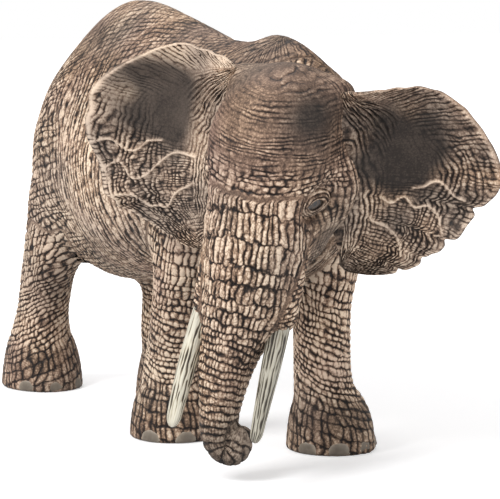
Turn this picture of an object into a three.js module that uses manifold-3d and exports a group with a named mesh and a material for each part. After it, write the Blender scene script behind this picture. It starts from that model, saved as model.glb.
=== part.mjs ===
// Standing African elephant, a play figure moulded in rigid PVC and painted.
// Millimetres. The animal faces -Y, its left side is +X, and its soles stand on Z = 0.
// The skin is one smooth shape worked out from simple rounded forms, and the pieces are cut from it.

import * as THREE from 'three';
import { mergeVertices } from 'three/addons/utils/BufferGeometryUtils.js';
import Module from 'manifold-3d';

const wasm = await Module();
wasm.setup();

// Sizes of the animal
const BODY_LENGTH = 100;
const BODY_WIDTH = 47;
const BODY_HEIGHT = 85;
const LEG_WIDTH = 10.6;
const FOOT_WIDTH = 17.2;
const NECK_WIDTH = 28;
const HEAD_WIDTH = 26;
const HEAD_DEPTH = 24;
const HEAD_HEIGHT = 38;
const TRUNK_WIDTH = 19;
const TRUNK_LIFT = 3.4;
const TUSK_LENGTH = 26;
const TUSK_WIDTH = 3.8;
const EAR_WIDTH = 28.5;
const EAR_HEIGHT = 38.5;
const EAR_THICKNESS = 1.9;
const EAR_CUP = 3.2;
const TAIL_LENGTH = 34;
const TAIL_WIDTH = 2.8;

// Widths of the soft folds where one form runs into the next
const LEG_FOLD = 5;
const NECK_FOLD = 6;
const HEAD_FOLD = 4;
const TRUNK_FOLD = 3;
const SHEATH_FOLD = 2.5;

// Mould and assembly sizes
const WALL = 3;
const BOND_GAP = 0.3;
const PIN_WIDTH = 3;
const PIN_LENGTH = 4;
const LEG_SEAM_RISE = 5;
const LEG_SPIGOT_WIDTH = 5;
const LEG_SPIGOT_LENGTH = 5;
const NECK_SPIGOT_WIDTH = 9;
const NECK_SPIGOT_LENGTH = 6;
const EAR_TAB_LENGTH = 3;
const TUSK_PEG_LENGTH = 5;
const TAIL_PEG_LENGTH = 5;

// Facet sizes of the skin, and the overrun of a cut
const BODY_FACET = 4.2;
const HEAD_FACET = 2.8;
const HOLLOW_FACET = 6;
const SEAM_FACET = 2.4;
const OVERRUN = 6;
const ROUND_STEPS = 16;
const RING_STEPS = 12;
const EAR_STEPS = 5;

// How the head and neck are held, in degrees
const HEAD_TURN = -48;
const HEAD_NOD = 14;
const HEAD_TILT = 9;
const NECK_TURN = -25;
const EAR_SWEEP = { left: 20, right: 8 };

// Sections of the trunk of the body from rump to chest. Each row: place along the length, height of
// the widest line, half width, rise above that line, drop below it, roundness above, roundness below.
const TORSO_SHARES = [
  [0.525, 0.718, 0.021, 0.024, 0.024, 1.9, 2],
  [0.51, 0.706, 0.17, 0.112, 0.129, 1.9, 2],
  [0.475, 0.694, 0.287, 0.194, 0.206, 1.75, 2],
  [0.42, 0.671, 0.383, 0.276, 0.306, 1.55, 2.1],
  [0.34, 0.659, 0.436, 0.335, 0.347, 1.48, 2.15],
  [0.24, 0.635, 0.457, 0.364, 0.318, 1.5, 2.2],
  [0.12, 0.6, 0.489, 0.37, 0.265, 1.55, 2.2],
  [0, 0.588, 0.5, 0.345, 0.235, 1.6, 2.2],
  [-0.1, 0.6, 0.479, 0.314, 0.235, 1.55, 2.15],
  [-0.2, 0.624, 0.436, 0.286, 0.253, 1.45, 2.1],
  [-0.28, 0.647, 0.394, 0.28, 0.265, 1.38, 2],
  [-0.36, 0.659, 0.309, 0.253, 0.259, 1.35, 2],
  [-0.42, 0.671, 0.245, 0.194, 0.206, 1.45, 2],
  [-0.465, 0.671, 0.128, 0.106, 0.106, 1.7, 2],
  [-0.48, 0.671, 0.021, 0.024, 0.024, 1.9, 2],
];

// Sections of each leg from hip to ankle, then of its foot, down to just under the sole. Each row:
// place across the width, place along the length, height, half width, half depth.
const LEG_SHARES = {
  front_right_leg: {
    leg: [
      [-0.234, -0.25, 0.706, 0.613, 1.038],
      [-0.272, -0.23, 0.553, 0.679, 0.896],
      [-0.285, -0.19, 0.447, 0.604, 0.717],
      [-0.281, -0.14, 0.318, 0.519, 0.566],
      [-0.266, -0.095, 0.2, 0.491, 0.528],
    ],
    foot: [
      [-0.255, -0.076, 0.112, 0.337, 0.36],
      [-0.249, -0.074, 0.053, 0.453, 0.477],
      [-0.245, -0.07, -0.024, 0.5, 0.523],
    ],
  },
  front_left_leg: {
    leg: [
      [0.223, -0.26, 0.706, 0.613, 1.038],
      [0.23, -0.28, 0.553, 0.66, 0.896],
      [0.209, -0.3, 0.447, 0.585, 0.717],
      [0.174, -0.31, 0.318, 0.509, 0.566],
      [0.168, -0.315, 0.2, 0.491, 0.528],
    ],
    foot: [
      [0.179, -0.318, 0.112, 0.343, 0.36],
      [0.196, -0.323, 0.053, 0.459, 0.477],
      [0.202, -0.326, -0.024, 0.506, 0.523],
    ],
  },
  rear_right_leg: {
    leg: [
      [-0.2, 0.33, 0.66, 0.802, 1.3],
      [-0.255, 0.37, 0.553, 0.774, 1.132],
      [-0.266, 0.43, 0.435, 0.642, 0.83],
      [-0.264, 0.5, 0.318, 0.528, 0.613],
      [-0.251, 0.55, 0.2, 0.519, 0.585],
    ],
    foot: [
      [-0.245, 0.57, 0.112, 0.384, 0.442],
      [-0.238, 0.57, 0.053, 0.477, 0.558],
      [-0.234, 0.57, -0.024, 0.5, 0.593],
    ],
  },
  rear_left_leg: {
    leg: [
      [0.19, 0.32, 0.66, 0.802, 1.3],
      [0.2, 0.31, 0.553, 0.774, 1.132],
      [0.17, 0.3, 0.435, 0.642, 0.83],
      [0.147, 0.3, 0.318, 0.519, 0.613],
      [0.145, 0.31, 0.2, 0.491, 0.547],
    ],
    foot: [
      [0.16, 0.31, 0.112, 0.337, 0.384],
      [0.17, 0.305, 0.053, 0.43, 0.488],
      [0.17, 0.305, -0.024, 0.459, 0.535],
    ],
  },
};

// The neck bends to the right. Rows as for a leg, the half sizes as shares of the neck's width.
const NECK_SHARES = [
  [0, -0.26, 0.706, 0.5, 0.536],
  [-0.085, -0.38, 0.688, 0.446, 0.5],
  [-0.202, -0.47, 0.682, 0.411, 0.464],
];
const NECK_SEAM_SHARES = [-0.05, -0.385, 0.7];
const HEAD_PLACE_SHARES = [-0.274, -0.508, 0.671];

// Rounded forms of the head in its own frame, left, back and up from its middle. Each row: three
// places, then three half sizes, as shares of the head's width, depth and height.
const SKULL_SHARES = [0.019, 0.083, 0.145, 0.512, 0.5, 0.316];
const FOREHEAD_SHARES = [0, -0.25, 0.118, 0.385, 0.333, 0.289];
const BROW_SHARES = [0, -0.292, -0.079, 0.392, 0.292, 0.158];
const CHEEK_SHARES = [0.242, 0, -0.237, 0.204, 0.333, 0.237];

// The ridge on each side of the head that the ear grows from. Each row: left, back and up in shares
// of the head's three sizes, and half width in shares of its width.
const EAR_BASE_SHARES = [
  [0.35, 0.16, 0.31, 0.12],
  [0.43, 0.12, 0.17, 0.14],
  [0.45, 0.1, 0, 0.13],
  [0.4, 0.08, -0.2, 0.1],
];

// The trunk hangs, and its tip curls to the left. Each row: left, back, up, half width, half depth,
// the places and the drop as shares of the trunk's width and length.
const TRUNK_SHARES = [
  [0, -0.077, 0.058, 0.5, 0.421],
  [0.01, -0.183, -0.154, 0.463, 0.421],
  [0.02, -0.24, -0.346, 0.395, 0.379],
  [-0.03, -0.279, -0.519, 0.305, 0.311],
  [-0.085, -0.308, -0.673, 0.237, 0.253],
  [-0.1, -0.327, -0.788, 0.195, 0.211],
  [-0.075, -0.337, -0.875, 0.174, 0.184],
  [-0.005, -0.342, -0.931, 0.153, 0.153],
  [0.105, -0.342, -0.938, 0.137, 0.137],
  [0.19, -0.342, -0.904, 0.126, 0.126],
  [0.21, -0.338, -0.862, 0.116, 0.116],
];
const TRUNK_REACH_SHARE = 0.97;

// Each tusk from its root to its blunt tip. Each row: left, back and up from the root, half width.
const TUSK_ROOT_SHARES = [-0.458, -0.526];
const TUSK_SHARES = {
  left_tusk: [
    [0.254, 0, 0, 0.5],
    [0.269, -0.135, -0.269, 0.487],
    [0.277, -0.308, -0.577, 0.421],
    [0.281, -0.481, -0.885, 0.303],
  ],
  right_tusk: [
    [-0.254, 0, 0, 0.5],
    [-0.288, -0.135, -0.269, 0.487],
    [-0.312, -0.308, -0.596, 0.447],
    [-0.319, -0.481, -0.923, 0.355],
  ],
};
const PEG_LEAN_SHARE = 0.4;

// The lip of skin that each tusk grows out of. Each row: the share of the tusk's own sideways place,
// back and up in shares of the head's depth and height, and half width in shares of the tusk's width.
const SHEATH_SHARES = [
  [0.8, -0.292, -0.263, 1.05],
  [0.95, -0.458, -0.5, 0.87],
  [1, -0.525, -0.618, 0.76],
];

// Outline of each ear, from the top of its root round the rim to the bottom: outwards and up.
const EAR_OUTLINE_SHARES = {
  right_ear: [
    [-0.06, 0.421], [0.14, 0.449], [0.354, 0.447], [0.639, 0.335], [0.856, 0.218], [0.965, 0.101],
    [0.961, -0.127], [0.909, -0.273], [0.807, -0.361], [0.688, -0.444], [0.446, -0.496],
    [0.182, -0.527], [0.011, -0.548],
  ],
  left_ear: [
    [0.084, 0.382], [0.253, 0.403], [0.463, 0.416], [0.656, 0.353], [0.825, 0.218], [0.937, 0.078],
    [0.951, -0.044], [0.846, -0.174], [0.733, -0.281], [0.589, -0.39], [0.474, -0.47],
    [0.225, -0.499], [0.056, -0.519],
  ],
};
const EAR_ROOT_SHARES = [0.469, 0.104, 0];
const EAR_ROOT_TOP_SHARE = 0.38;
const EAR_ROOT_BOTTOM_SHARE = -0.48;
const EAR_TAB_END_SHARE = 0.62;
const EAR_ROOT_LEAN_SHARE = 0.1;
const EAR_ROOT_LEAN_END_SHARE = 0.25;
const EAR_RIM_SHARE = 0.6;

// How far the boxes that hold the skins reach to the rear and to the left of the head.
const BODY_REAR_SHARE = 0.75;
const HEAD_LEFT_SHARE = 0.75;

// The tail hangs behind the rump and ends in a tuft. Each row: back and up, half width.
const TAIL_ROOT_SHARES = [0.522, 0.785];
const TAIL_SHARES = [
  [0, 0, 0.5],
  [0.09, -0.09, 0.5],
  [0.125, -0.3, 0.42],
  [0.125, -0.55, 0.36],
  [0.115, -0.75, 0.4],
  [0.105, -0.9, 0.52],
  [0.1, -1, 0.3],
];

// Where the three locating pins of the torso halves stand: along the length and height.
const PIN_PLACE_SHARES = [
  [-0.22, 0.78],
  [0.16, 0.82],
  [0.4, 0.6],
];
const MID_GAP = BOND_GAP / 2;
const LEG_MARGIN = LEG_FOLD / 2;

// A smooth row-by-row path through the given rows, with the same number of steps in each span.
function pathThrough(rows, steps) {
  const last = rows.length - 1;
  const before = rows[0].map((v, c) => 2 * v - rows[1][c]);
  const after = rows[last].map((v, c) => 2 * v - rows[last - 1][c]);
  const all = [before, ...rows, after];
  const path = [];
  for (let i = 0; i < last; i += 1) {
    const [p0, p1, p2, p3] = all.slice(i, i + 4);
    for (let s = 0; s < steps; s += 1) {
      const t = s / steps;
      path.push(p1.map((v, c) => 0.5 * (
        2 * v + (p2[c] - p0[c]) * t
        + (2 * p0[c] - 5 * v + 4 * p2[c] - p3[c]) * t * t
        + (3 * v - p0[c] - 3 * p2[c] + p3[c]) * t * t * t)));
    }
  }
  path.push(rows[last]);
  return path;
}

// The nearer of two forms, with a soft fold of the given width where they meet.
function folded(a, b, width) {
  const h = THREE.MathUtils.clamp(0.5 + 0.5 * (b - a) / width, 0, 1);
  return b + (a - b) * h - width * h * (1 - h);
}

// Distance to a chain of rounded links with an elliptic section, for a leg, the neck or the trunk.
function limbField(rows, side) {
  const path = pathThrough(rows, 4);
  const links = [];
  for (let i = 0; i + 1 < path.length; i += 1) {
    const [x, y, z, a, b] = path[i];
    const [x2, y2, z2, a2, b2] = path[i + 1];
    const along = [x2 - x, y2 - y, z2 - z];
    const square = along[0] ** 2 + along[1] ** 2 + along[2] ** 2;
    links.push({ x, y, z, a, b, along, square, grow: [a2 - a, b2 - b] });
  }
  return (x, y, z) => {
    let best = Infinity;
    for (const k of links) {
      let dx = x - k.x;
      let dy = y - k.y;
      let dz = z - k.z;
      const raw = (dx * k.along[0] + dy * k.along[1] + dz * k.along[2]) / k.square;
      const t = Math.min(Math.max(raw, 0), 1);
      dx -= t * k.along[0];
      dy -= t * k.along[1];
      dz -= t * k.along[2];
      const a = k.a + t * k.grow[0];
      const b = k.b + t * k.grow[1];
      const u = dx * side.x + dy * side.y + dz * side.z;
      const square = dx * dx + dy * dy + dz * dz;
      const v2 = Math.max(square - u * u, 0);
      const rho = Math.sqrt((u / a) ** 2 + v2 / (b * b));
      const d = rho < 0.3 ? -0.7 * Math.min(a, b) : Math.sqrt(square) * (1 - 1 / rho);
      best = Math.min(best, d);
    }
    return best;
  };
}

// Distance to an ellipsoid whose axes follow the head's own frame.
function roundField(centre, radii, frame) {
  const [ax, ay, az] = frame;
  return (x, y, z) => {
    const dx = x - centre.x;
    const dy = y - centre.y;
    const dz = z - centre.z;
    const q = [ax, ay, az].map((axis) => dx * axis.x + dy * axis.y + dz * axis.z);
    const k0 = Math.hypot(q[0] / radii[0], q[1] / radii[1], q[2] / radii[2]);
    const k1 = Math.hypot(q[0] / radii[0] ** 2, q[1] / radii[1] ** 2, q[2] / radii[2] ** 2);
    return k1 === 0 ? -Math.min(...radii) : k0 * (k0 - 1) / k1;
  };
}

const bodyPoint = ([x, y, z]) => new THREE.Vector3(x * BODY_WIDTH, y * BODY_LENGTH, z * BODY_HEIGHT);

// The trunk of the body: rounded sections between the rows of its table.
function makeTorsoField() {
  const rows = TORSO_SHARES.map(([y, z, w, up, down, above, below]) => [
    y * BODY_LENGTH, z * BODY_HEIGHT, w * BODY_WIDTH, up * BODY_HEIGHT, down * BODY_HEIGHT, above, below,
  ]);
  const path = pathThrough(rows, 8);
  const rear = rows[0][0];
  const front = rows[rows.length - 1][0];
  return (x, y, z) => {
    const place = THREE.MathUtils.clamp(y, front, rear);
    let i = 0;
    while (i + 2 < path.length && path[i + 1][0] > place) i += 1;
    const t = THREE.MathUtils.clamp((path[i][0] - place) / (path[i][0] - path[i + 1][0]), 0, 1);
    const [, level, w, up, down, above, below] = path[i].map((v, c) => v + t * (path[i + 1][c] - v));
    const dz = z - level;
    const h = dz > 0 ? up : down;
    const n = dz > 0 ? above : below;
    const rho = ((Math.abs(x) / w) ** n + (Math.abs(dz) / h) ** n) ** (1 / n);
    const d = rho === 0 ? -Math.min(w, h) : Math.max(Math.hypot(x, dz) * (1 - 1 / rho), -Math.min(w, h));
    const past = Math.max(y - rear, front - y);
    return past > 0 ? Math.hypot(Math.max(d, 0), past) : d;
  };
}
const torsoField = makeTorsoField();

const sideways = new THREE.Vector3(1, 0, 0);

function legRows({ leg, foot }) {
  const row = (width) => ([x, y, z, a, b]) => [...bodyPoint([x, y, z]).toArray(), a * width, b * width];
  return [...leg.map(row(LEG_WIDTH)), ...foot.map(row(FOOT_WIDTH))];
}
const legPaths = Object.fromEntries(Object.entries(LEG_SHARES).map(([name, t]) => [name, legRows(t)]));
const legFields = Object.values(legPaths).map((rows) => limbField(rows, sideways));
const upperLegFields = Object.values(legPaths).map((rows) => limbField(rows.slice(0, 4), sideways));
const neckField = limbField(NECK_SHARES.map(([x, y, z, a, b]) => [
  ...bodyPoint([x, y, z]).toArray(), a * NECK_WIDTH, b * NECK_WIDTH,
]), sideways);

// The head's own frame: left, back and up, turned, tilted and nodded from the body's.
const radians = THREE.MathUtils.degToRad;
const headTurn = new THREE.Matrix4().makeRotationZ(radians(HEAD_TURN))
  .multiply(new THREE.Matrix4().makeRotationY(radians(HEAD_TILT)))
  .multiply(new THREE.Matrix4().makeRotationX(radians(HEAD_NOD)));
const headFrame = [new THREE.Vector3(), new THREE.Vector3(), new THREE.Vector3()];
headTurn.extractBasis(...headFrame);
const headMiddle = bodyPoint(HEAD_PLACE_SHARES);
const trunkLength = (headMiddle.z - TRUNK_LIFT) * TRUNK_REACH_SHARE;

function headPoint(left, back, up) {
  return headMiddle.clone()
    .addScaledVector(headFrame[0], left)
    .addScaledVector(headFrame[1], back)
    .addScaledVector(headFrame[2], up);
}

function headForm([x, y, z, a, b, c], side = 1) {
  const centre = headPoint(side * x * HEAD_WIDTH, y * HEAD_DEPTH, z * HEAD_HEIGHT);
  return roundField(centre, [a * HEAD_WIDTH, b * HEAD_DEPTH, c * HEAD_HEIGHT], headFrame);
}

const skullField = headForm(SKULL_SHARES);
const faceFields = [
  headForm(FOREHEAD_SHARES),
  headForm(BROW_SHARES),
  headForm(CHEEK_SHARES),
  headForm(CHEEK_SHARES, -1),
];
const earBaseFields = [1, -1].map((side) => limbField(EAR_BASE_SHARES.map(([x, y, z, r]) => [
  ...headPoint(side * x * HEAD_WIDTH, y * HEAD_DEPTH, z * HEAD_HEIGHT).toArray(),
  r * HEAD_WIDTH, r * HEAD_WIDTH,
]), headFrame[0]));
const trunkField = limbField(TRUNK_SHARES.map(([x, y, z, a, b]) => [
  ...headPoint(x * TRUNK_WIDTH, y * trunkLength, z * trunkLength).toArray(), a * TRUNK_WIDTH, b * TRUNK_WIDTH,
]), headFrame[0]);

// Where a tusk's row lies. The root is in the lip, and the peg reaches back into the head from it.
function tuskPoint([x, y, z]) {
  const [rootBack, rootUp] = TUSK_ROOT_SHARES;
  const back = rootBack * HEAD_DEPTH + y * TUSK_LENGTH;
  return headPoint(x * HEAD_WIDTH, back, rootUp * HEAD_HEIGHT + z * TUSK_LENGTH);
}
const sheathFields = Object.values(TUSK_SHARES).map((rows) => limbField(SHEATH_SHARES.map(([x, y, z, r]) => [
  ...headPoint(x * rows[0][0] * HEAD_WIDTH, y * HEAD_DEPTH, z * HEAD_HEIGHT).toArray(),
  r * TUSK_WIDTH, r * TUSK_WIDTH,
]), headFrame[0]));

function trunkOfBody(x, y, z, legs) {
  let d = torsoField(x, y, z);
  for (const leg of legs) d = folded(d, leg(x, y, z), LEG_FOLD);
  return folded(d, neckField(x, y, z), NECK_FOLD);
}

function bodyField(x, y, z) {
  return folded(trunkOfBody(x, y, z, legFields), skullField(x, y, z), HEAD_FOLD);
}

function headField(x, y, z) {
  let d = skullField(x, y, z);
  for (const form of faceFields) d = folded(d, form(x, y, z), HEAD_FOLD);
  for (const base of earBaseFields) d = folded(d, base(x, y, z), HEAD_FOLD);
  for (const sheath of sheathFields) d = folded(d, sheath(x, y, z), SHEATH_FOLD);
  d = folded(d, trunkField(x, y, z), TRUNK_FOLD);
  return folded(trunkOfBody(x, y, z, upperLegFields), d, HEAD_FOLD);
}

// True for each pattern of a cell's eight corners that has one inside and one outside region.
function plainPatterns() {
  const neighbours = (c) => [c ^ 1, c ^ 2, c ^ 4];
  const regions = (mask, want) => {
    const left = new Set([0, 1, 2, 3, 4, 5, 6, 7].filter((c) => ((mask >> c) & 1) === want));
    let count = 0;
    while (left.size > 0) {
      const queue = [left.values().next().value];
      left.delete(queue[0]);
      while (queue.length > 0) {
        for (const n of neighbours(queue.pop())) {
          if (left.delete(n)) queue.push(n);
        }
      }
      count += 1;
    }
    return count;
  };
  return Array.from({ length: 256 }, (_, mask) => regions(mask, 1) <= 1 && regions(mask, 0) <= 1);
}
const PLAIN = plainPatterns();

// The closed surface where a field is zero, as facets of about the given size: one point in each cell
// that the surface crosses, and one four-sided facet round each grid edge that it crosses.
function skinGeometry(field, low, high, facet) {
  const count = [0, 1, 2].map((k) => Math.ceil((high[k] - low[k]) / facet) + 1);
  const [nx, ny, nz] = count;
  const at = (i, j, k) => (i * ny + j) * nz + k;
  const value = new Float64Array(nx * ny * nz);
  for (let i = 0; i < nx; i += 1) {
    for (let j = 0; j < ny; j += 1) {
      for (let k = 0; k < nz; k += 1) {
        const d = field(low[0] + i * facet, low[1] + j * facet, low[2] + k * facet);
        const edge = i === 0 || j === 0 || k === 0 || i === nx - 1 || j === ny - 1 || k === nz - 1;
        value[at(i, j, k)] = edge ? Math.max(d, facet / 2) : d;
      }
    }
  }
  const corner = (i, j, k, c) => at(i + (c & 1), j + ((c >> 1) & 1), k + ((c >> 2) & 1));
  const maskOf = (i, j, k) => {
    let mask = 0;
    for (let c = 0; c < 8; c += 1) mask |= (value[corner(i, j, k, c)] < 0 ? 1 : 0) << c;
    return mask;
  };
  // Where a cell holds two separate regions, its nearest outside corner is filled until none does.
  for (let changed = true; changed;) {
    changed = false;
    for (let i = 0; i + 1 < nx; i += 1) {
      for (let j = 0; j + 1 < ny; j += 1) {
        for (let k = 0; k + 1 < nz; k += 1) {
          if (PLAIN[maskOf(i, j, k)]) continue;
          const around = [0, 1, 2, 3, 4, 5, 6, 7].map((c) => corner(i, j, k, c));
          const outside = around.filter((n) => value[n] >= 0);
          const nearest = outside.reduce((best, n) => (value[n] < value[best] ? n : best));
          value[nearest] = -0.05 * facet;
          changed = true;
        }
      }
    }
  }
  const pointOf = new Map();
  const points = [];
  for (let i = 0; i + 1 < nx; i += 1) {
    for (let j = 0; j + 1 < ny; j += 1) {
      for (let k = 0; k + 1 < nz; k += 1) {
        const mask = maskOf(i, j, k);
        if (mask === 0 || mask === 255) continue;
        const sum = [0, 0, 0];
        let crossings = 0;
        for (let c = 0; c < 8; c += 1) {
          for (const bit of [1, 2, 4]) {
            const c2 = c | bit;
            if (c2 === c || ((mask >> c) & 1) === ((mask >> c2) & 1)) continue;
            const f1 = value[corner(i, j, k, c)];
            const f2 = value[corner(i, j, k, c2)];
            const t = THREE.MathUtils.clamp(f1 / (f1 - f2), 0.1, 0.9);
            sum[0] += (c & 1) + (bit === 1 ? t : 0);
            sum[1] += ((c >> 1) & 1) + (bit === 2 ? t : 0);
            sum[2] += ((c >> 2) & 1) + (bit === 4 ? t : 0);
            crossings += 1;
          }
        }
        pointOf.set(at(i, j, k), points.length);
        points.push([i, j, k].map((n, axis) => low[axis] + facet * (n + sum[axis] / crossings)));
      }
    }
  }
  const settled = points.map((p) => settledPoint(field, p, facet));
  const faces = [];
  const addQuad = (a, b, c, d) => {
    const length = (m, n) => Math.hypot(...settled[m].map((v, axis) => v - settled[n][axis]));
    if (length(a, c) < length(b, d)) faces.push(a, b, c, a, c, d);
    else faces.push(a, b, d, b, c, d);
  };
  for (let i = 0; i + 1 < nx; i += 1) {
    for (let j = 0; j + 1 < ny; j += 1) {
      for (let k = 0; k + 1 < nz; k += 1) {
        const inside = value[at(i, j, k)] < 0;
        const ring = (u, v) => [[-1, -1], [0, -1], [0, 0], [-1, 0]].map(([a, b]) => {
          const cell = [i, j, k];
          cell[u] += a;
          cell[v] += b;
          return pointOf.get(at(...cell));
        });
        for (const [axis, u, v] of [[0, 1, 2], [1, 2, 0], [2, 0, 1]]) {
          const next = [i, j, k];
          if (next[u] === 0 || next[v] === 0) continue;
          next[axis] += 1;
          if (inside === value[at(...next)] < 0) continue;
          const quad = ring(u, v);
          addQuad(...(inside ? quad : quad.reverse()));
        }
      }
    }
  }
  const geometry = new THREE.BufferGeometry();
  geometry.setAttribute('position', new THREE.Float32BufferAttribute(settled.flat(), 3));
  geometry.setIndex(faces);
  return geometry;
}

// A point moved square to the surface until it lies on it. Points far from it, at a cut end, stay.
function settledPoint(field, point, facet) {
  const p = [...point];
  const reach = facet / 2;
  const small = facet / 20;
  for (let round = 0; round < 2; round += 1) {
    const d = field(...p);
    if (Math.abs(d) > reach) return p;
    const slope = [0, 1, 2].map((axis) => {
      const ahead = [...p];
      const behind = [...p];
      ahead[axis] += small;
      behind[axis] -= small;
      return (field(...ahead) - field(...behind)) / (2 * small);
    });
    const square = slope[0] ** 2 + slope[1] ** 2 + slope[2] ** 2;
    const step = square > 0.1 ? d / square : 0;
    for (let axis = 0; axis < 3; axis += 1) p[axis] -= step * slope[axis];
  }
  return p;
}

function solidOf(geometry) {
  const bare = geometry.clone();
  bare.deleteAttribute('normal');
  bare.deleteAttribute('uv');
  const merged = mergeVertices(bare);
  return new wasm.Manifold(new wasm.Mesh({
    numProp: 3,
    vertProperties: new Float32Array(merged.attributes.position.array),
    triVerts: new Uint32Array(merged.index.array),
  }));
}

function geometryOf(solid) {
  const mesh = solid.getMesh();
  const geometry = new THREE.BufferGeometry();
  geometry.setAttribute('position', new THREE.BufferAttribute(mesh.vertProperties.slice(), 3));
  geometry.setIndex(new THREE.BufferAttribute(mesh.triVerts.slice(), 1));
  geometry.computeVertexNormals();
  return geometry;
}

// A round rod of one width from a start point along a direction.
function rod(start, direction, width, length) {
  const geometry = new THREE.CylinderGeometry(width / 2, width / 2, length, ROUND_STEPS);
  geometry.translate(0, length / 2, 0);
  const turn = new THREE.Quaternion().setFromUnitVectors(new THREE.Vector3(0, 1, 0), direction);
  geometry.applyQuaternion(turn);
  geometry.translate(start.x, start.y, start.z);
  return solidOf(geometry);
}

// A rectangular block between two corners.
function block(low, high) {
  const size = high.clone().sub(low);
  const geometry = new THREE.BoxGeometry(size.x, size.y, size.z);
  geometry.translate((low.x + high.x) / 2, (low.y + high.y) / 2, (low.z + high.z) / 2);
  return solidOf(geometry);
}

// A round rod that follows a path and changes width, for a tusk or the tail. Rows: place, half width.
function taperedRod(rows, side, grow, steps) {
  const path = pathThrough(rows, steps);
  const positions = [];
  const faces = [];
  path.forEach(([x, y, z, r], i) => {
    const a = path[Math.max(i - 1, 0)];
    const b = path[Math.min(i + 1, path.length - 1)];
    const along = new THREE.Vector3(b[0] - a[0], b[1] - a[1], b[2] - a[2]).normalize();
    const u = side.clone().addScaledVector(along, -side.dot(along)).normalize();
    const v = along.clone().cross(u);
    for (let s = 0; s < RING_STEPS; s += 1) {
      const turn = 2 * Math.PI * s / RING_STEPS;
      const p = new THREE.Vector3(x, y, z)
        .addScaledVector(u, (r + grow) * Math.cos(turn))
        .addScaledVector(v, (r + grow) * Math.sin(turn));
      positions.push(...p.toArray());
    }
  });
  const ring = (i, s) => i * RING_STEPS + s % RING_STEPS;
  for (let i = 0; i + 1 < path.length; i += 1) {
    for (let s = 0; s < RING_STEPS; s += 1) {
      faces.push(ring(i, s), ring(i, s + 1), ring(i + 1, s + 1));
      faces.push(ring(i, s), ring(i + 1, s + 1), ring(i + 1, s));
    }
  }
  const end = path.length - 1;
  for (let s = 1; s + 1 < RING_STEPS; s += 1) {
    faces.push(ring(0, 0), ring(0, s + 1), ring(0, s));
    faces.push(ring(end, 0), ring(end, s), ring(end, s + 1));
  }
  const geometry = new THREE.BufferGeometry();
  geometry.setAttribute('position', new THREE.Float32BufferAttribute(positions, 3));
  geometry.setIndex(faces);
  return solidOf(geometry);
}

// A tusk with its peg. Grown by the bond gap, and with a longer peg, it is also its socket.
function tusk(name, grow) {
  const rows = TUSK_SHARES[name];
  const root = rows[0];
  const pegShare = (TUSK_PEG_LENGTH + grow) / TUSK_LENGTH;
  const peg = [root[0], PEG_LEAN_SHARE * pegShare, pegShare, root[3]];
  const path = [peg, ...rows].map((row) => [...tuskPoint(row).toArray(), row[3] * TUSK_WIDTH]);
  return taperedRod(path, headFrame[0], grow, 3);
}

// The tail with its peg, and its socket in the same way.
function tail(grow) {
  const [rootBack, rootUp] = TAIL_ROOT_SHARES;
  const place = ([back, up, r]) => [
    0, rootBack * BODY_LENGTH + back * TAIL_LENGTH, rootUp * BODY_HEIGHT + up * TAIL_LENGTH, r * TAIL_WIDTH,
  ];
  const pegEnd = rootBack * BODY_LENGTH - TAIL_PEG_LENGTH - grow;
  const peg = [0, pegEnd, rootUp * BODY_HEIGHT, TAIL_SHARES[0][2] * TAIL_WIDTH];
  return taperedRod([peg, ...TAIL_SHARES.map(place)], sideways, grow, 2);
}

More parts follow.
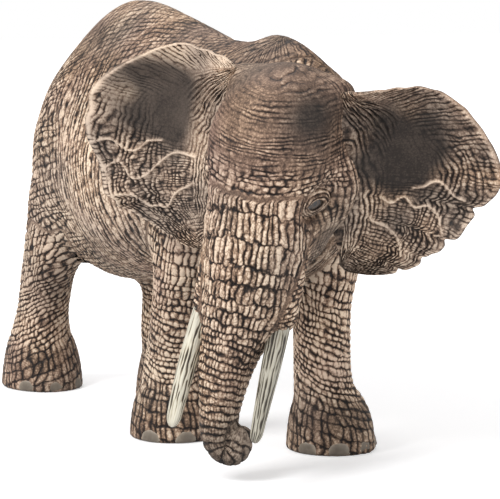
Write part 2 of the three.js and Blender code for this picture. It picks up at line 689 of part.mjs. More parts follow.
// An ear: a cupped sheet between its root and its rim, with a tab that enters the head. Its front
// and back are grids with the same outline, joined round the edge.
function ear(name, grow) {
  const side = name === 'left_ear' ? 1 : -1;
  const sweep = radians(side > 0 ? EAR_SWEEP.left : EAR_SWEEP.right);
  const outline = pathThrough(EAR_OUTLINE_SHARES[name], 2);
  const place = (outwards, up, forward) => headPoint(
    side * (EAR_ROOT_SHARES[0] * HEAD_WIDTH + outwards * Math.cos(sweep) + forward * Math.sin(sweep)),
    EAR_ROOT_SHARES[1] * HEAD_DEPTH + outwards * Math.sin(sweep) - forward * Math.cos(sweep),
    up,
  );
  const layers = [1, -1].map((face) => outline.map(([rimOut, rimUp], j) => {
    const t = j / (outline.length - 1);
    const rootUp = THREE.MathUtils.lerp(EAR_ROOT_TOP_SHARE, EAR_ROOT_BOTTOM_SHARE, t) * EAR_HEIGHT;
    const lean = EAR_ROOT_LEAN_SHARE * EAR_WIDTH
      * (1 - THREE.MathUtils.smoothstep(t, 0, EAR_ROOT_LEAN_END_SHARE));
    const tab = (EAR_TAB_LENGTH + grow) * (1 - THREE.MathUtils.smoothstep(t, EAR_TAB_END_SHARE, 1));
    const points = [];
    for (let i = -1; i <= EAR_STEPS; i += 1) {
      const u = Math.max(i, 0) / EAR_STEPS;
      const half = EAR_THICKNESS / 2 * (1 - (1 - EAR_RIM_SHARE) * u * u) + grow;
      const cup = -EAR_CUP * Math.sin(Math.PI * u) * Math.sin(Math.PI * t);
      const out = i < 0 ? -tab - lean : THREE.MathUtils.lerp(-lean, rimOut * EAR_WIDTH, u);
      const up = THREE.MathUtils.lerp(rootUp, rimUp * EAR_HEIGHT, u);
      points.push(place(out, up, cup + face * half));
    }
    return points;
  }));
  const columns = EAR_STEPS + 2;
  const rows = outline.length;
  const positions = layers.flat(2).flatMap((p) => p.toArray());
  const at = (layer, j, i) => (layer * rows + j) * columns + i;
  const faces = [];
  const quad = (a, b, c, d) => faces.push(...(side > 0 ? [a, b, c, a, c, d] : [a, c, b, a, d, c]));
  for (let j = 0; j + 1 < rows; j += 1) {
    for (let i = 0; i + 1 < columns; i += 1) {
      quad(at(0, j, i), at(0, j + 1, i), at(0, j + 1, i + 1), at(0, j, i + 1));
      quad(at(1, j, i), at(1, j, i + 1), at(1, j + 1, i + 1), at(1, j + 1, i));
    }
    quad(at(0, j, 0), at(1, j, 0), at(1, j + 1, 0), at(0, j + 1, 0));
    quad(at(0, j, columns - 1), at(0, j + 1, columns - 1), at(1, j + 1, columns - 1), at(1, j, columns - 1));
  }
  for (let i = 0; i + 1 < columns; i += 1) {
    quad(at(0, 0, i), at(0, 0, i + 1), at(1, 0, i + 1), at(1, 0, i));
    quad(at(0, rows - 1, i), at(1, rows - 1, i), at(1, rows - 1, i + 1), at(0, rows - 1, i + 1));
  }
  const geometry = new THREE.BufferGeometry();
  geometry.setAttribute('position', new THREE.Float32BufferAttribute(positions, 3));
  geometry.setIndex(faces);
  return solidOf(geometry);
}

// The box that holds the whole body skin, and the one round the head, trunk and neck.
const halfWidth = BODY_WIDTH / 2 + OVERRUN;
const bodyLow = [-halfWidth, headMiddle.y - HEAD_DEPTH, -BODY_FACET * 2];
const bodyHigh = [halfWidth, BODY_REAR_SHARE * BODY_LENGTH, BODY_HEIGHT + OVERRUN];
const headLow = [headMiddle.x - HEAD_WIDTH, headMiddle.y - HEAD_DEPTH, -OVERRUN];
const headHigh = [HEAD_LEFT_SHARE * halfWidth, headMiddle.y + HEAD_DEPTH, BODY_HEIGHT + OVERRUN];
const up = new THREE.Vector3(0, 0, 1);
const reach = 2 * BODY_LENGTH;
const bodySkin = solidOf(skinGeometry(bodyField, bodyLow, bodyHigh, BODY_FACET));
const headSkin = solidOf(skinGeometry(headField, headLow, headHigh, HEAD_FACET));
const hollowField = (x, y, z) => torsoField(x, y, z) + WALL;
const hollow = solidOf(skinGeometry(hollowField, bodyLow, bodyHigh, HOLLOW_FACET));

// The lowest line of the belly, and where each leg crosses its seam a little above it.
const bellyHeight = Math.min(...TORSO_SHARES.slice(2, -2).map((row) => (row[1] - row[4]) * BODY_HEIGHT));
const seamHeight = bellyHeight + LEG_SEAM_RISE;

function legCentre(rows) {
  const path = pathThrough(rows, 8);
  const [x, y] = path.reduce((best, row) => (
    Math.abs(row[2] - seamHeight) < Math.abs(best[2] - seamHeight) ? row : best));
  return new THREE.Vector3(x, y, seamHeight);
}

// The neck seam is a flat cut across the neck, and the head lies on its front side.
const neckDirection = new THREE.Vector3(0, -1, 0).applyAxisAngle(up, radians(NECK_TURN));
const neckSeam = bodyPoint(NECK_SEAM_SHARES);

function inFrontOfNeck(grow, bottom) {
  const geometry = new THREE.BoxGeometry(reach, reach, reach);
  geometry.translate(0, grow - reach / 2, 0);
  geometry.rotateZ(radians(NECK_TURN));
  geometry.translate(neckSeam.x, neckSeam.y, bottom + reach / 2);
  return solidOf(geometry);
}

// Everything that belongs to one leg: its own form, grown past the soft fold where it meets the belly,
// from the ground up to the seam.
function legSpace(name, grow) {
  const rows = legPaths[name];
  const form = limbField(rows, sideways);
  const margin = LEG_MARGIN + grow;
  const room = BODY_WIDTH / 2 + WALL + OVERRUN;
  const corner = (pick, side) => [0, 1, 2].map((axis) => pick(...rows.map((row) => row[axis])) + side * room);
  const low = corner(Math.min, -1);
  const high = corner(Math.max, 1);
  const grown = solidOf(skinGeometry((x, y, z) => form(x, y, z) - margin, low, high, SEAM_FACET));
  const floor = grow > 0 ? -reach : 0;
  const top = seamHeight + grow;
  return grown.intersect(block(new THREE.Vector3(-reach, -reach, floor), new THREE.Vector3(reach, reach, top)));
}

const legNames = Object.keys(LEG_SHARES);
const left = new THREE.Vector3(1, 0, 0);

function makeLeg(name) {
  const centre = legCentre(legPaths[name]);
  const start = centre.clone().setZ(seamHeight - WALL);
  const spigot = rod(start, up, LEG_SPIGOT_WIDTH, WALL + LEG_SPIGOT_LENGTH);
  return bodySkin.intersect(legSpace(name, 0)).add(spigot);
}

// The torso: a hollow shell with a seat and socket over each leg, a closed neck face with a socket,
// a boss for the tail, and posts that meet at the middle for the locating pins.
function makeTorso() {
  let empty = hollow.subtract(inFrontOfNeck(WALL, bellyHeight));
  let shell = bodySkin.subtract(inFrontOfNeck(BOND_GAP, bellyHeight));
  for (const name of legNames) {
    const start = legCentre(legPaths[name]).setZ(bellyHeight - OVERRUN);
    const bossTop = seamHeight + LEG_SPIGOT_LENGTH + BOND_GAP + WALL;
    empty = empty.subtract(legSpace(name, BOND_GAP + WALL));
    empty = empty.subtract(rod(start, up, LEG_SPIGOT_WIDTH + WALL * 2, bossTop - start.z));
    shell = shell.subtract(legSpace(name, BOND_GAP));
  }
  const boss = NECK_SPIGOT_LENGTH + BOND_GAP + WALL;
  const neckBack = neckSeam.clone().addScaledVector(neckDirection, -boss);
  empty = empty.subtract(rod(neckBack, neckDirection, NECK_SPIGOT_WIDTH + WALL * 2, boss + OVERRUN));
  const rump = new THREE.Vector3(0, TAIL_ROOT_SHARES[0] * BODY_LENGTH, TAIL_ROOT_SHARES[1] * BODY_HEIGHT);
  const rumpIn = rump.clone().setY(rump.y - TAIL_PEG_LENGTH - BOND_GAP - WALL);
  empty = empty.subtract(rod(rumpIn, new THREE.Vector3(0, 1, 0), TAIL_WIDTH + WALL * 2, reach));
  for (const place of pinPlaces) {
    empty = empty.subtract(rod(place.clone().setX(-reach / 2), left, PIN_WIDTH + WALL, reach));
  }
  shell = shell.subtract(empty);
  for (const name of Object.keys(EAR_OUTLINE_SHARES)) shell = shell.subtract(ear(name, BOND_GAP));
  for (const name of legNames) {
    const start = legCentre(legPaths[name]).setZ(seamHeight - OVERRUN);
    const length = OVERRUN + LEG_SPIGOT_LENGTH + BOND_GAP;
    shell = shell.subtract(rod(start, up, LEG_SPIGOT_WIDTH + BOND_GAP * 2, length));
  }
  const socketDepth = NECK_SPIGOT_LENGTH + BOND_GAP;
  const socketEnd = neckSeam.clone().addScaledVector(neckDirection, -socketDepth);
  const socket = rod(socketEnd, neckDirection, NECK_SPIGOT_WIDTH + BOND_GAP * 2, socketDepth + OVERRUN);
  return shell.subtract(socket).subtract(tail(BOND_GAP));
}

const pinPlaces = PIN_PLACE_SHARES.map(([y, z]) => bodyPoint([0, y, z]));
const torso = makeTorso();

function makeLeftTorso() {
  const half = block(new THREE.Vector3(MID_GAP, -reach, -reach), new THREE.Vector3(reach, reach, reach));
  let shell = torso.intersect(half);
  for (const place of pinPlaces) {
    shell = shell.add(rod(place.clone().setX(-PIN_LENGTH), left, PIN_WIDTH, PIN_LENGTH + WALL));
  }
  return shell;
}

function makeRightTorso() {
  const half = block(new THREE.Vector3(-reach, -reach, -reach), new THREE.Vector3(-MID_GAP, reach, reach));
  let shell = torso.intersect(half);
  for (const place of pinPlaces) {
    const start = place.clone().setX(-PIN_LENGTH - BOND_GAP);
    shell = shell.subtract(rod(start, left, PIN_WIDTH + BOND_GAP * 2, PIN_LENGTH + WALL));
  }
  return shell;
}

// The head and trunk in one piece, with a neck spigot, a slot for each ear and a socket for each tusk.
function makeHead() {
  const spigotEnd = neckSeam.clone().addScaledVector(neckDirection, -NECK_SPIGOT_LENGTH);
  const spigot = rod(spigotEnd, neckDirection, NECK_SPIGOT_WIDTH, NECK_SPIGOT_LENGTH + WALL);
  let solid = headSkin.intersect(inFrontOfNeck(0, -reach / 2)).add(spigot);
  for (const name of Object.keys(EAR_OUTLINE_SHARES)) solid = solid.subtract(ear(name, BOND_GAP));
  for (const name of Object.keys(TUSK_SHARES)) solid = solid.subtract(tusk(name, BOND_GAP));
  return solid;
}

const skinPaint = () => new THREE.MeshStandardMaterial({ color: 0x8d7a69, roughness: 0.75, metalness: 0 });
const tuskPaint = () => new THREE.MeshStandardMaterial({ color: 0xd8d2c0, roughness: 0.45, metalness: 0 });
const tailPaint = () => new THREE.MeshStandardMaterial({ color: 0x5a4a3e, roughness: 0.8, metalness: 0 });

const figure = new THREE.Group();

function addPiece(name, solid, paint) {
  const mesh = new THREE.Mesh(geometryOf(solid), paint());
  mesh.name = name;
  figure.add(mesh);
}

addPiece('torso_left_shell', makeLeftTorso(), skinPaint);
addPiece('torso_right_shell', makeRightTorso(), skinPaint);
for (const name of legNames) addPiece(name, makeLeg(name), skinPaint);
addPiece('head', makeHead(), skinPaint);
for (const name of Object.keys(EAR_OUTLINE_SHARES)) addPiece(name, ear(name, 0), skinPaint);
for (const name of Object.keys(TUSK_SHARES)) addPiece(name, tusk(name, 0), tuskPaint);
addPiece('tail', tail(0), tailPaint);

// The origin lies under the middle of the figure's bounding box.
const bounds = new THREE.Box3().setFromObject(figure);
const middle = bounds.getCenter(new THREE.Vector3());
figure.position.set(-middle.x, -middle.y, 0);

export default figure;
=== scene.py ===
"""Standing African elephant: a play figure moulded in rigid PVC, bonded from shells and hand painted."""
import itertools
import math

import bpy
import numpy as np
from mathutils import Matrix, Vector


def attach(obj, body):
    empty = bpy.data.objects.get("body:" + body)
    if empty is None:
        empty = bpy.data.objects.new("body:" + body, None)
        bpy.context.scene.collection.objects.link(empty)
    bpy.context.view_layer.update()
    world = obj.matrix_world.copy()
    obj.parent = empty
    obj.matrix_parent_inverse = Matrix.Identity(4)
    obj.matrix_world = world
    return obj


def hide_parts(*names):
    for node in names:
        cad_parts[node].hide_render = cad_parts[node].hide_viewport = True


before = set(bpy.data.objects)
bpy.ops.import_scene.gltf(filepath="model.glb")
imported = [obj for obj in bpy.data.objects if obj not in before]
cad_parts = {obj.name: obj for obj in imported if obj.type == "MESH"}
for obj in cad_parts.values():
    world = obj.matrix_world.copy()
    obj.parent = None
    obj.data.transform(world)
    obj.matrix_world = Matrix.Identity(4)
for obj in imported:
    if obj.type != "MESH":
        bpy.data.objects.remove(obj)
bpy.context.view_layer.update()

# Torso. Two hollow half shells moulded in rigid PVC and bonded along the middle of the back and the
# belly, with the seam filled and painted over. The form runs on into the legs and the neck.
BODY_LENGTH = 0.100
BODY_WIDTH = 0.047
BODY_HEIGHT = 0.085
# Where the figure's own axes stand in the frame, whose origin is the middle of the figure's box.
FIGURE_PLACE = np.array([0.005772, 0.002643, 0.0])
TORSO_STEPS = 8
# A guard against dividing by nought, and a distance beyond any on the figure.
TINY = 1e-9
FAR = 1.0
# Rows from rump to chest: place along the length, height of the widest line, half width, rise above
# that line, drop below it, roundness above and below.
TORSO_SHARES = np.array([
    [0.525, 0.718, 0.021, 0.024, 0.024, 1.9, 2],
    [0.51, 0.706, 0.17, 0.112, 0.129, 1.9, 2],
    [0.475, 0.694, 0.287, 0.194, 0.206, 1.75, 2],
    [0.42, 0.671, 0.383, 0.276, 0.306, 1.55, 2.1],
    [0.34, 0.659, 0.436, 0.335, 0.347, 1.48, 2.15],
    [0.24, 0.635, 0.457, 0.364, 0.318, 1.5, 2.2],
    [0.12, 0.6, 0.489, 0.37, 0.265, 1.55, 2.2],
    [0, 0.588, 0.5, 0.345, 0.235, 1.6, 2.2],
    [-0.1, 0.6, 0.479, 0.314, 0.235, 1.55, 2.15],
    [-0.2, 0.624, 0.436, 0.286, 0.253, 1.45, 2.1],
    [-0.28, 0.647, 0.394, 0.28, 0.265, 1.38, 2],
    [-0.36, 0.659, 0.309, 0.253, 0.259, 1.35, 2],
    [-0.42, 0.671, 0.245, 0.194, 0.206, 1.45, 2],
    [-0.465, 0.671, 0.128, 0.106, 0.106, 1.7, 2],
    [-0.48, 0.671, 0.021, 0.024, 0.024, 1.9, 2],
])


def through(rows, steps):
    """A smooth path through the rows: in each span, the cubic whose slope at a row is half the way
    from the row before it to the row after it."""
    rows = np.asarray(rows, float)
    padded = np.vstack([2 * rows[0] - rows[1], rows, 2 * rows[-1] - rows[-2]])
    share = np.linspace(0, 1, steps, endpoint=False)[None, :, None]
    a, b, c, d = [padded[k:len(rows) - 1 + k, None] for k in range(4)]
    spans = 0.5 * (2 * b + (c - a) * share + (2 * a - 5 * b + 4 * c - d) * share ** 2
                   + (3 * b - a - 3 * c + d) * share ** 3)
    return np.vstack([spans.reshape(-1, rows.shape[1]), rows[-1:]])


def lengths_along(path):
    """How far along a path each of its points lies."""
    return np.concatenate([[0], np.cumsum(np.linalg.norm(np.diff(path, axis=0), axis=1))])


torso_path = through(
    TORSO_SHARES * [BODY_LENGTH, BODY_HEIGHT, BODY_WIDTH, BODY_HEIGHT, BODY_HEIGHT, 1, 1], TORSO_STEPS)[::-1]


def torso_form(p):
    """Distance to the torso: in each section, the distance from its middle, less what the rounded
    outline leaves of it in that direction."""
    level, wide, rise, drop, above, below = [
        np.interp(p[:, 1], torso_path[:, 0], torso_path[:, k]) for k in range(1, 7)]
    up = p[:, 2] - level
    high = np.where(up > 0, rise, drop)
    power = np.where(up > 0, above, below)
    rho = ((np.abs(p[:, 0]) / wide) ** power + (np.abs(up) / high) ** power) ** (1 / power) + TINY
    inside = np.maximum(np.hypot(p[:, 0], up) * (1 - 1 / rho), -np.minimum(wide, high))
    past = np.maximum(p[:, 1] - torso_path[-1, 0], torso_path[0, 0] - p[:, 1])
    return np.where(past > 0, np.hypot(np.maximum(inside, 0), past), inside)


def folded(a, b, width):
    """The nearer of two distances, with a soft fold of that width where they are alike."""
    share = np.clip(0.5 + 0.5 * (b - a) / width, 0, 1)
    return b + (a - b) * share - width * share * (1 - share)


# Legs. Four solid mouldings of the same PVC, each with a round flat-soled foot. They plug into the
# torso from below and are bonded there, with the seam filled and painted over.
LEG_WIDTH = 0.0106
FOOT_WIDTH = 0.0172
LEG_FOLD = 0.005
# Rows from hip to ankle, then the foot down to under the sole: place across, along and up, half width
# and half depth.
LEG_SHARES = {
    "front_right_leg": (
        [[-0.234, -0.25, 0.706, 0.613, 1.038], [-0.272, -0.23, 0.553, 0.679, 0.896],
         [-0.285, -0.19, 0.447, 0.604, 0.717], [-0.281, -0.14, 0.318, 0.519, 0.566],
         [-0.266, -0.095, 0.2, 0.491, 0.528]],
        [[-0.255, -0.076, 0.112, 0.337, 0.36], [-0.249, -0.074, 0.053, 0.453, 0.477],
         [-0.245, -0.07, -0.024, 0.5, 0.523]]),
    "front_left_leg": (
        [[0.223, -0.26, 0.706, 0.613, 1.038], [0.23, -0.28, 0.553, 0.66, 0.896],
         [0.209, -0.3, 0.447, 0.585, 0.717], [0.174, -0.31, 0.318, 0.509, 0.566],
         [0.168, -0.315, 0.2, 0.491, 0.528]],
        [[0.179, -0.318, 0.112, 0.343, 0.36], [0.196, -0.323, 0.053, 0.459, 0.477],
         [0.202, -0.326, -0.024, 0.506, 0.523]]),
    "rear_right_leg": (
        [[-0.2, 0.33, 0.66, 0.802, 1.3], [-0.255, 0.37, 0.553, 0.774, 1.132],
         [-0.266, 0.43, 0.435, 0.642, 0.83], [-0.264, 0.5, 0.318, 0.528, 0.613],
         [-0.251, 0.55, 0.2, 0.519, 0.585]],
        [[-0.245, 0.57, 0.112, 0.384, 0.442], [-0.238, 0.57, 0.053, 0.477, 0.558],
         [-0.234, 0.57, -0.024, 0.5, 0.593]]),
    "rear_left_leg": (
        [[0.19, 0.32, 0.66, 0.802, 1.3], [0.2, 0.31, 0.553, 0.774, 1.132],
         [0.17, 0.3, 0.435, 0.642, 0.83], [0.147, 0.3, 0.318, 0.519, 0.613],
         [0.145, 0.31, 0.2, 0.491, 0.547]],
        [[0.16, 0.31, 0.112, 0.337, 0.384], [0.17, 0.305, 0.053, 0.43, 0.488],
         [0.17, 0.305, -0.024, 0.459, 0.535]]),
}
SIDEWAYS = np.array([1.0, 0.0, 0.0])
LIMB_STEPS = 5
# How far round a limb its distance is worked out.
LIMB_REACH = 0.008
# Nearer the middle of a section than this share, the distance counts as even.
CORE_SHARE = 0.3


def limb_form(rows, side):
    """Distance to a chain of links along a smooth path: from the nearest point of each link, less the
    radius of its oval section, with one half size along the side direction and one across it."""
    path = through(rows, LIMB_STEPS)
    low = path[:, :3].min(0) - path[:, 3:].max() - LIMB_REACH
    high = path[:, :3].max(0) + path[:, 3:].max() + LIMB_REACH

    def form(p):
        near = np.flatnonzero(((p > low) & (p < high)).all(1))
        q = p[near]
        least = np.full(len(q), FAR)
        for first, second in zip(path[:-1], path[1:]):
            along = second[:3] - first[:3]
            share = np.clip((q - first[:3]) @ along / (along @ along), 0, 1)
            wide, deep = [first[k] + share * (second[k] - first[k]) for k in (3, 4)]
            away = q - first[:3] - share[:, None] * along
            across = away @ side
            square = (away ** 2).sum(1)
            rho = np.sqrt((across / wide) ** 2 + np.maximum(square - across ** 2, 0) / deep ** 2) + TINY
            even = (CORE_SHARE - 1) * np.minimum(wide, deep)
            least = np.minimum(least, np.where(rho < CORE_SHARE, even, np.sqrt(square) * (1 - 1 / rho)))
        whole = np.full(len(p), FAR)
        whole[near] = least
        return whole
    return form


body_sizes = np.array([BODY_WIDTH, BODY_LENGTH, BODY_HEIGHT])
leg_rows = {
    name: np.vstack([np.array(part) * [*body_sizes, width, width]
                     for part, width in ((leg, LEG_WIDTH), (foot, FOOT_WIDTH))])
    for name, (leg, foot) in LEG_SHARES.items()}
leg_forms = {name: limb_form(rows, SIDEWAYS) for name, rows in leg_rows.items()}

# Head. One solid moulding with the neck's stump, the cheeks and the whole trunk, turned to the
# animal's right and plugged into the front of the torso.
NECK_WIDTH = 0.028
HEAD_WIDTH = 0.026
HEAD_DEPTH = 0.024
HEAD_HEIGHT = 0.038
TRUNK_WIDTH = 0.019
TRUNK_LIFT = 0.0034
NECK_FOLD = 0.006
HEAD_FOLD = 0.004
TRUNK_FOLD = 0.003
SHEATH_FOLD = 0.0025
HEAD_TURN, HEAD_TILT, HEAD_NOD, NECK_TURN = [math.radians(angle) for angle in (-48, 9, 14, -25)]
# Rows from the torso to the head: place across, along and up, half width and half depth.
NECK_SHARES = [
    [0, -0.26, 0.706, 0.5, 0.536], [-0.085, -0.38, 0.688, 0.446, 0.5], [-0.202, -0.47, 0.682, 0.411, 0.464]]
NECK_SEAM_SHARES = [-0.05, -0.385, 0.7]
HEAD_PLACE_SHARES = [-0.274, -0.508, 0.671]
# Rounded forms: left, back and up from the head's middle, then three half sizes.
HEAD_SHARES = [
    [0.019, 0.083, 0.145, 0.512, 0.5, 0.316],
    [0, -0.25, 0.118, 0.385, 0.333, 0.289],
    [0, -0.292, -0.079, 0.33, 0.292, 0.158],
    [0.232, 0, -0.237, 0.18, 0.333, 0.237],
    [-0.232, 0, -0.237, 0.18, 0.333, 0.237],
]
# The swelling that carries each ear, and below the sheath of skin round each tusk: left, back and up
# from the head's middle, then the half size.
EAR_BASE_SHARES = [
    [0.35, 0.16, 0.31, 0.12], [0.43, 0.12, 0.17, 0.14], [0.45, 0.1, 0, 0.13], [0.4, 0.08, -0.2, 0.1]]
TRUNK_REACH_SHARE = 0.97
# Rows down the trunk: left in its width, back and up in its length, then half width and half depth.
TRUNK_SHARES = [
    [0, -0.077, 0.058, 0.5, 0.421], [0.01, -0.183, -0.154, 0.463, 0.421], [0.02, -0.24, -0.346, 0.395, 0.379],
    [-0.03, -0.279, -0.519, 0.305, 0.311], [-0.085, -0.308, -0.673, 0.237, 0.253],
    [-0.1, -0.327, -0.788, 0.195, 0.211], [-0.075, -0.337, -0.875, 0.174, 0.184],
    [-0.015, -0.342, -0.931, 0.153, 0.153], [0.075, -0.345, -0.943, 0.137, 0.137],
    [0.135, -0.345, -0.92, 0.124, 0.124], [0.15, -0.342, -0.885, 0.112, 0.112],
]
TUSK_WIDTH = 0.0038
SHEATH_SHARES = [[0.8, -0.292, -0.263, 1.05], [0.95, -0.458, -0.5, 0.87], [1, -0.525, -0.618, 0.76]]
TUSK_SIDE_SHARE = 0.254


def turned(axis, angle):
    """The turn by an angle about one of the three axes."""
    a, b = [k for k in range(3) if k != axis]
    turn = np.eye(3)
    turn[a, a] = turn[b, b] = math.cos(angle)
    turn[a, b], turn[b, a] = -math.sin(angle), math.sin(angle)
    return turn.T if axis == 1 else turn


head_axes = turned(2, HEAD_TURN) @ turned(1, HEAD_TILT) @ turned(0, HEAD_NOD)
head_middle = body_sizes * HEAD_PLACE_SHARES
head_sizes = np.array([HEAD_WIDTH, HEAD_DEPTH, HEAD_HEIGHT])
trunk_length = (head_middle[2] - TRUNK_LIFT) * TRUNK_REACH_SHARE


def head_point(left, back, up):
    """A place given as left, back and up in the head's own frame."""
    return head_middle + head_axes @ np.array([left, back, up])


def round_form(place, radii):
    """Distance to an ellipsoid that lies along the head's axes: its implicit value over its slope."""
    def form(p):
        q = (p - place) @ head_axes
        level = np.sqrt(((q / radii) ** 2).sum(1)) + TINY
        slope = np.sqrt(((q / radii ** 2) ** 2).sum(1)) + TINY
        return level * (level - 1) / slope
    return form


def headed(rows, scale, width):
    """Rows of a limb on the head, with places given in shares and one or two half sizes."""
    return [[*head_point(*(np.array(row[:3]) * scale)), row[3] * width, row[-1] * width] for row in rows]


neck_form = limb_form(
    [np.array(row) * [*body_sizes, NECK_WIDTH, NECK_WIDTH] for row in NECK_SHARES], SIDEWAYS)
head_forms = [
    (round_form(head_point(*(head_sizes * row[:3])), head_sizes * row[3:]), HEAD_FOLD) for row in HEAD_SHARES]
for side in (1, -1):
    base = [[side * row[0], *row[1:]] for row in EAR_BASE_SHARES]
    sheath = [[side * row[0] * TUSK_SIDE_SHARE, *row[1:]] for row in SHEATH_SHARES]
    head_forms.append((limb_form(headed(base, head_sizes, HEAD_WIDTH), head_axes[:, 0]), HEAD_FOLD))
    head_forms.append((limb_form(headed(sheath, head_sizes, TUSK_WIDTH), head_axes[:, 0]), SHEATH_FOLD))
# Hollows at the temples: left, back and up from the head's middle, then three half sizes.
TEMPLE_SHARES = [0.62, 0.04, 0.2, 0.2, 0.38, 0.24]
TEMPLE_FOLD = 0.0035
# Hollows in which the eyes sit, in the same order.
ORBIT_SHARES = [0.46, -0.33, -0.11, 0.13, 0.22, 0.1]
ORBIT_FOLD = 0.0025
hollow_forms = [
    (round_form(head_point(*(head_sizes * [side * row[0], *row[1:3]])), head_sizes * row[3:]), fold)
    for side in (1, -1) for row, fold in ((TEMPLE_SHARES, TEMPLE_FOLD), (ORBIT_SHARES, ORBIT_FOLD))]
trunk_rows = headed(TRUNK_SHARES, [TRUNK_WIDTH, trunk_length, trunk_length], TRUNK_WIDTH)
trunk_form = limb_form(trunk_rows, head_axes[:, 0])


def head_form(p):
    """Distance to the head with its trunk."""
    distance = head_forms[0][0](p)
    for form, fold in head_forms[1:]:
        distance = folded(distance, form(p), fold)
    distance = folded(distance, trunk_form(p), TRUNK_FOLD)
    for form, fold in hollow_forms:
        distance = -folded(-distance, form(p), fold)
    return distance


# The painted hide. One skin over torso, legs, head and trunk, worked out as a whole so that no seam
# shows, sculpted with its wrinkles, and then parted where the mouldings join.
HIDE_CELL = 0.00128
SOLE_ROUNDING = 0.0008
# Where a cell's pattern is unclear, a corner is moved inside by this share of a cell.
NUDGE_SHARE = 0.05
# The least square of a form's slope, and the least doubled area of the facets at a point.
LEAST_SLOPE = 0.2
LEAST_AREA = 1e-20


def hide_form(p):
    """Distance to the whole smooth body, with flat soles on the ground."""
    distance = torso_form(p)
    for form in leg_forms.values():
        distance = folded(distance, form(p), LEG_FOLD)
    distance = folded(distance, neck_form(p), NECK_FOLD)
    distance = folded(distance, head_form(p), HEAD_FOLD)
    return -folded(-distance, p[:, 2], SOLE_ROUNDING)


def plain_patterns():
    """True for each pattern of a cell's eight corners with one region inside and one outside."""
    def in_one_piece(chosen):
        left = set(chosen)
        queue = [left.pop()] if left else []
        while queue:
            corner = queue.pop()
            beside = {corner ^ 1, corner ^ 2, corner ^ 4} & left
            left -= beside
            queue += beside
        return not left
    return np.array([in_one_piece(c for c in range(8) if pattern >> c & 1)
                     and in_one_piece(c for c in range(8) if not pattern >> c & 1) for pattern in range(256)])


def skin_net(form, low, high, cell):
    """A closed net of four-sided facets where the form's distance is nought: a point in each grid cell
    that the surface crosses, at the mean of its crossings, and a facet round each crossed grid edge."""
    shape = np.ceil((high - low) / cell).astype(int) + 1
    grid = np.stack(np.meshgrid(*[low[k] + cell * np.arange(shape[k]) for k in range(3)], indexing="ij"), -1)
    value = form(grid.reshape(-1, 3)).reshape(shape)
    corners = [(c & 1, c >> 1 & 1, c >> 2 & 1) for c in range(8)]

    def seen_from(corner, array):
        return array[tuple(slice(corner[k], shape[k] - 1 + corner[k]) for k in range(3))]
    plain = plain_patterns()
    while True:
        pattern = sum((seen_from(c, value) < 0).astype(int) << n for n, c in enumerate(corners))
        bad = np.argwhere(~plain[pattern])
        if not len(bad):
            break
        around = np.stack([value[tuple((bad + c).T)] for c in corners], 1)
        nearest = np.where(around >= 0, around, np.inf).argmin(1)
        value[tuple((bad + np.array(corners)[nearest]).T)] = -NUDGE_SHARE * cell
    total = np.zeros((*(shape - 1), 3))
    crossings = np.zeros(shape - 1)
    for a, b in itertools.combinations(corners, 2):
        step = np.subtract(b, a)
        if np.abs(step).sum() != 1:
            continue
        one, other = seen_from(a, value), seen_from(b, value)
        crossed = (one < 0) != (other < 0)
        share = np.where(crossed, one / np.where(crossed, one - other, 1), 0)
        total += np.where(crossed[..., None], np.array(a) + share[..., None] * step, 0)
        crossings += crossed
    used = crossings > 0
    number = np.full(used.shape, -1)
    number[used] = np.arange(used.sum())
    points = low + cell * (np.argwhere(used) + total[used] / crossings[used][:, None])
    facets = []
    for axis in range(3):
        one = np.take(value, np.arange(shape[axis] - 1), axis) < 0
        other = np.take(value, np.arange(1, shape[axis]), axis) < 0
        edges = np.argwhere(one != other)
        u, v = [(axis + k) % 3 for k in (1, 2)]
        ring = []
        for back_u, back_v in ((1, 1), (0, 1), (0, 0), (1, 0)):
            cells = edges.copy()
            cells[:, u] -= back_u
            cells[:, v] -= back_v
            ring.append(number[tuple(cells.T)])
        ring = np.stack(ring, 1)
        outwards = one[tuple(edges.T)]
        facets.append(np.where(outwards[:, None], ring, ring[:, ::-1]))
    return points, np.vstack(facets)


def quartered(points, facets):
    """Each facet becomes four, round the middles of its edges and its own middle."""
    ends = np.sort(np.stack([facets, np.roll(facets, -1, 1)], 2).reshape(-1, 2), 1)
    edges, index = np.unique(ends[:, 0] * len(points) + ends[:, 1], return_inverse=True)
    first, second = np.divmod(edges, len(points))
    middle = len(points) + index.reshape(-1, 4)
    centre = len(points) + len(edges) + np.arange(len(facets))
    parts = [np.stack([facets[:, k], middle[:, k], centre, middle[:, k - 1]], 1) for k in range(4)]
    every = np.vstack([points, (points[first] + points[second]) / 2, points[facets].mean(1)])
    return every, np.stack(parts, 1).reshape(-1, 4)


def settled(points, form, reach):
    """Points moved square to the surface until they lie on it. The slope comes from four samples at
    the corners of a small tetrahedron round each point."""
    tips = np.array([[1, 1, 1], [1, -1, -1], [-1, 1, -1], [-1, -1, 1]]) * reach / 4
    samples = np.stack([form(points + tip) for tip in tips], 1)
    slope = samples @ tips / (4 * (reach / 4) ** 2)
    step = samples.mean(1) / np.maximum((slope ** 2).sum(1), LEAST_SLOPE)
    return points - np.clip(step, -reach, reach)[:, None] * slope


def facing(points, facets):
    """The outward direction at each point: the mean of the facets round it, weighed by their size."""
    across = points[facets[:, 2]] - points[facets[:, 0]]
    cross = np.cross(across, points[facets[:, 3]] - points[facets[:, 1]])
    total = np.stack([
        np.bincount(facets.ravel(), np.repeat(cross[:, k], 4), len(points)) for k in range(3)], 1)
    return total / (np.linalg.norm(total, axis=1, keepdims=True) + LEAST_AREA)


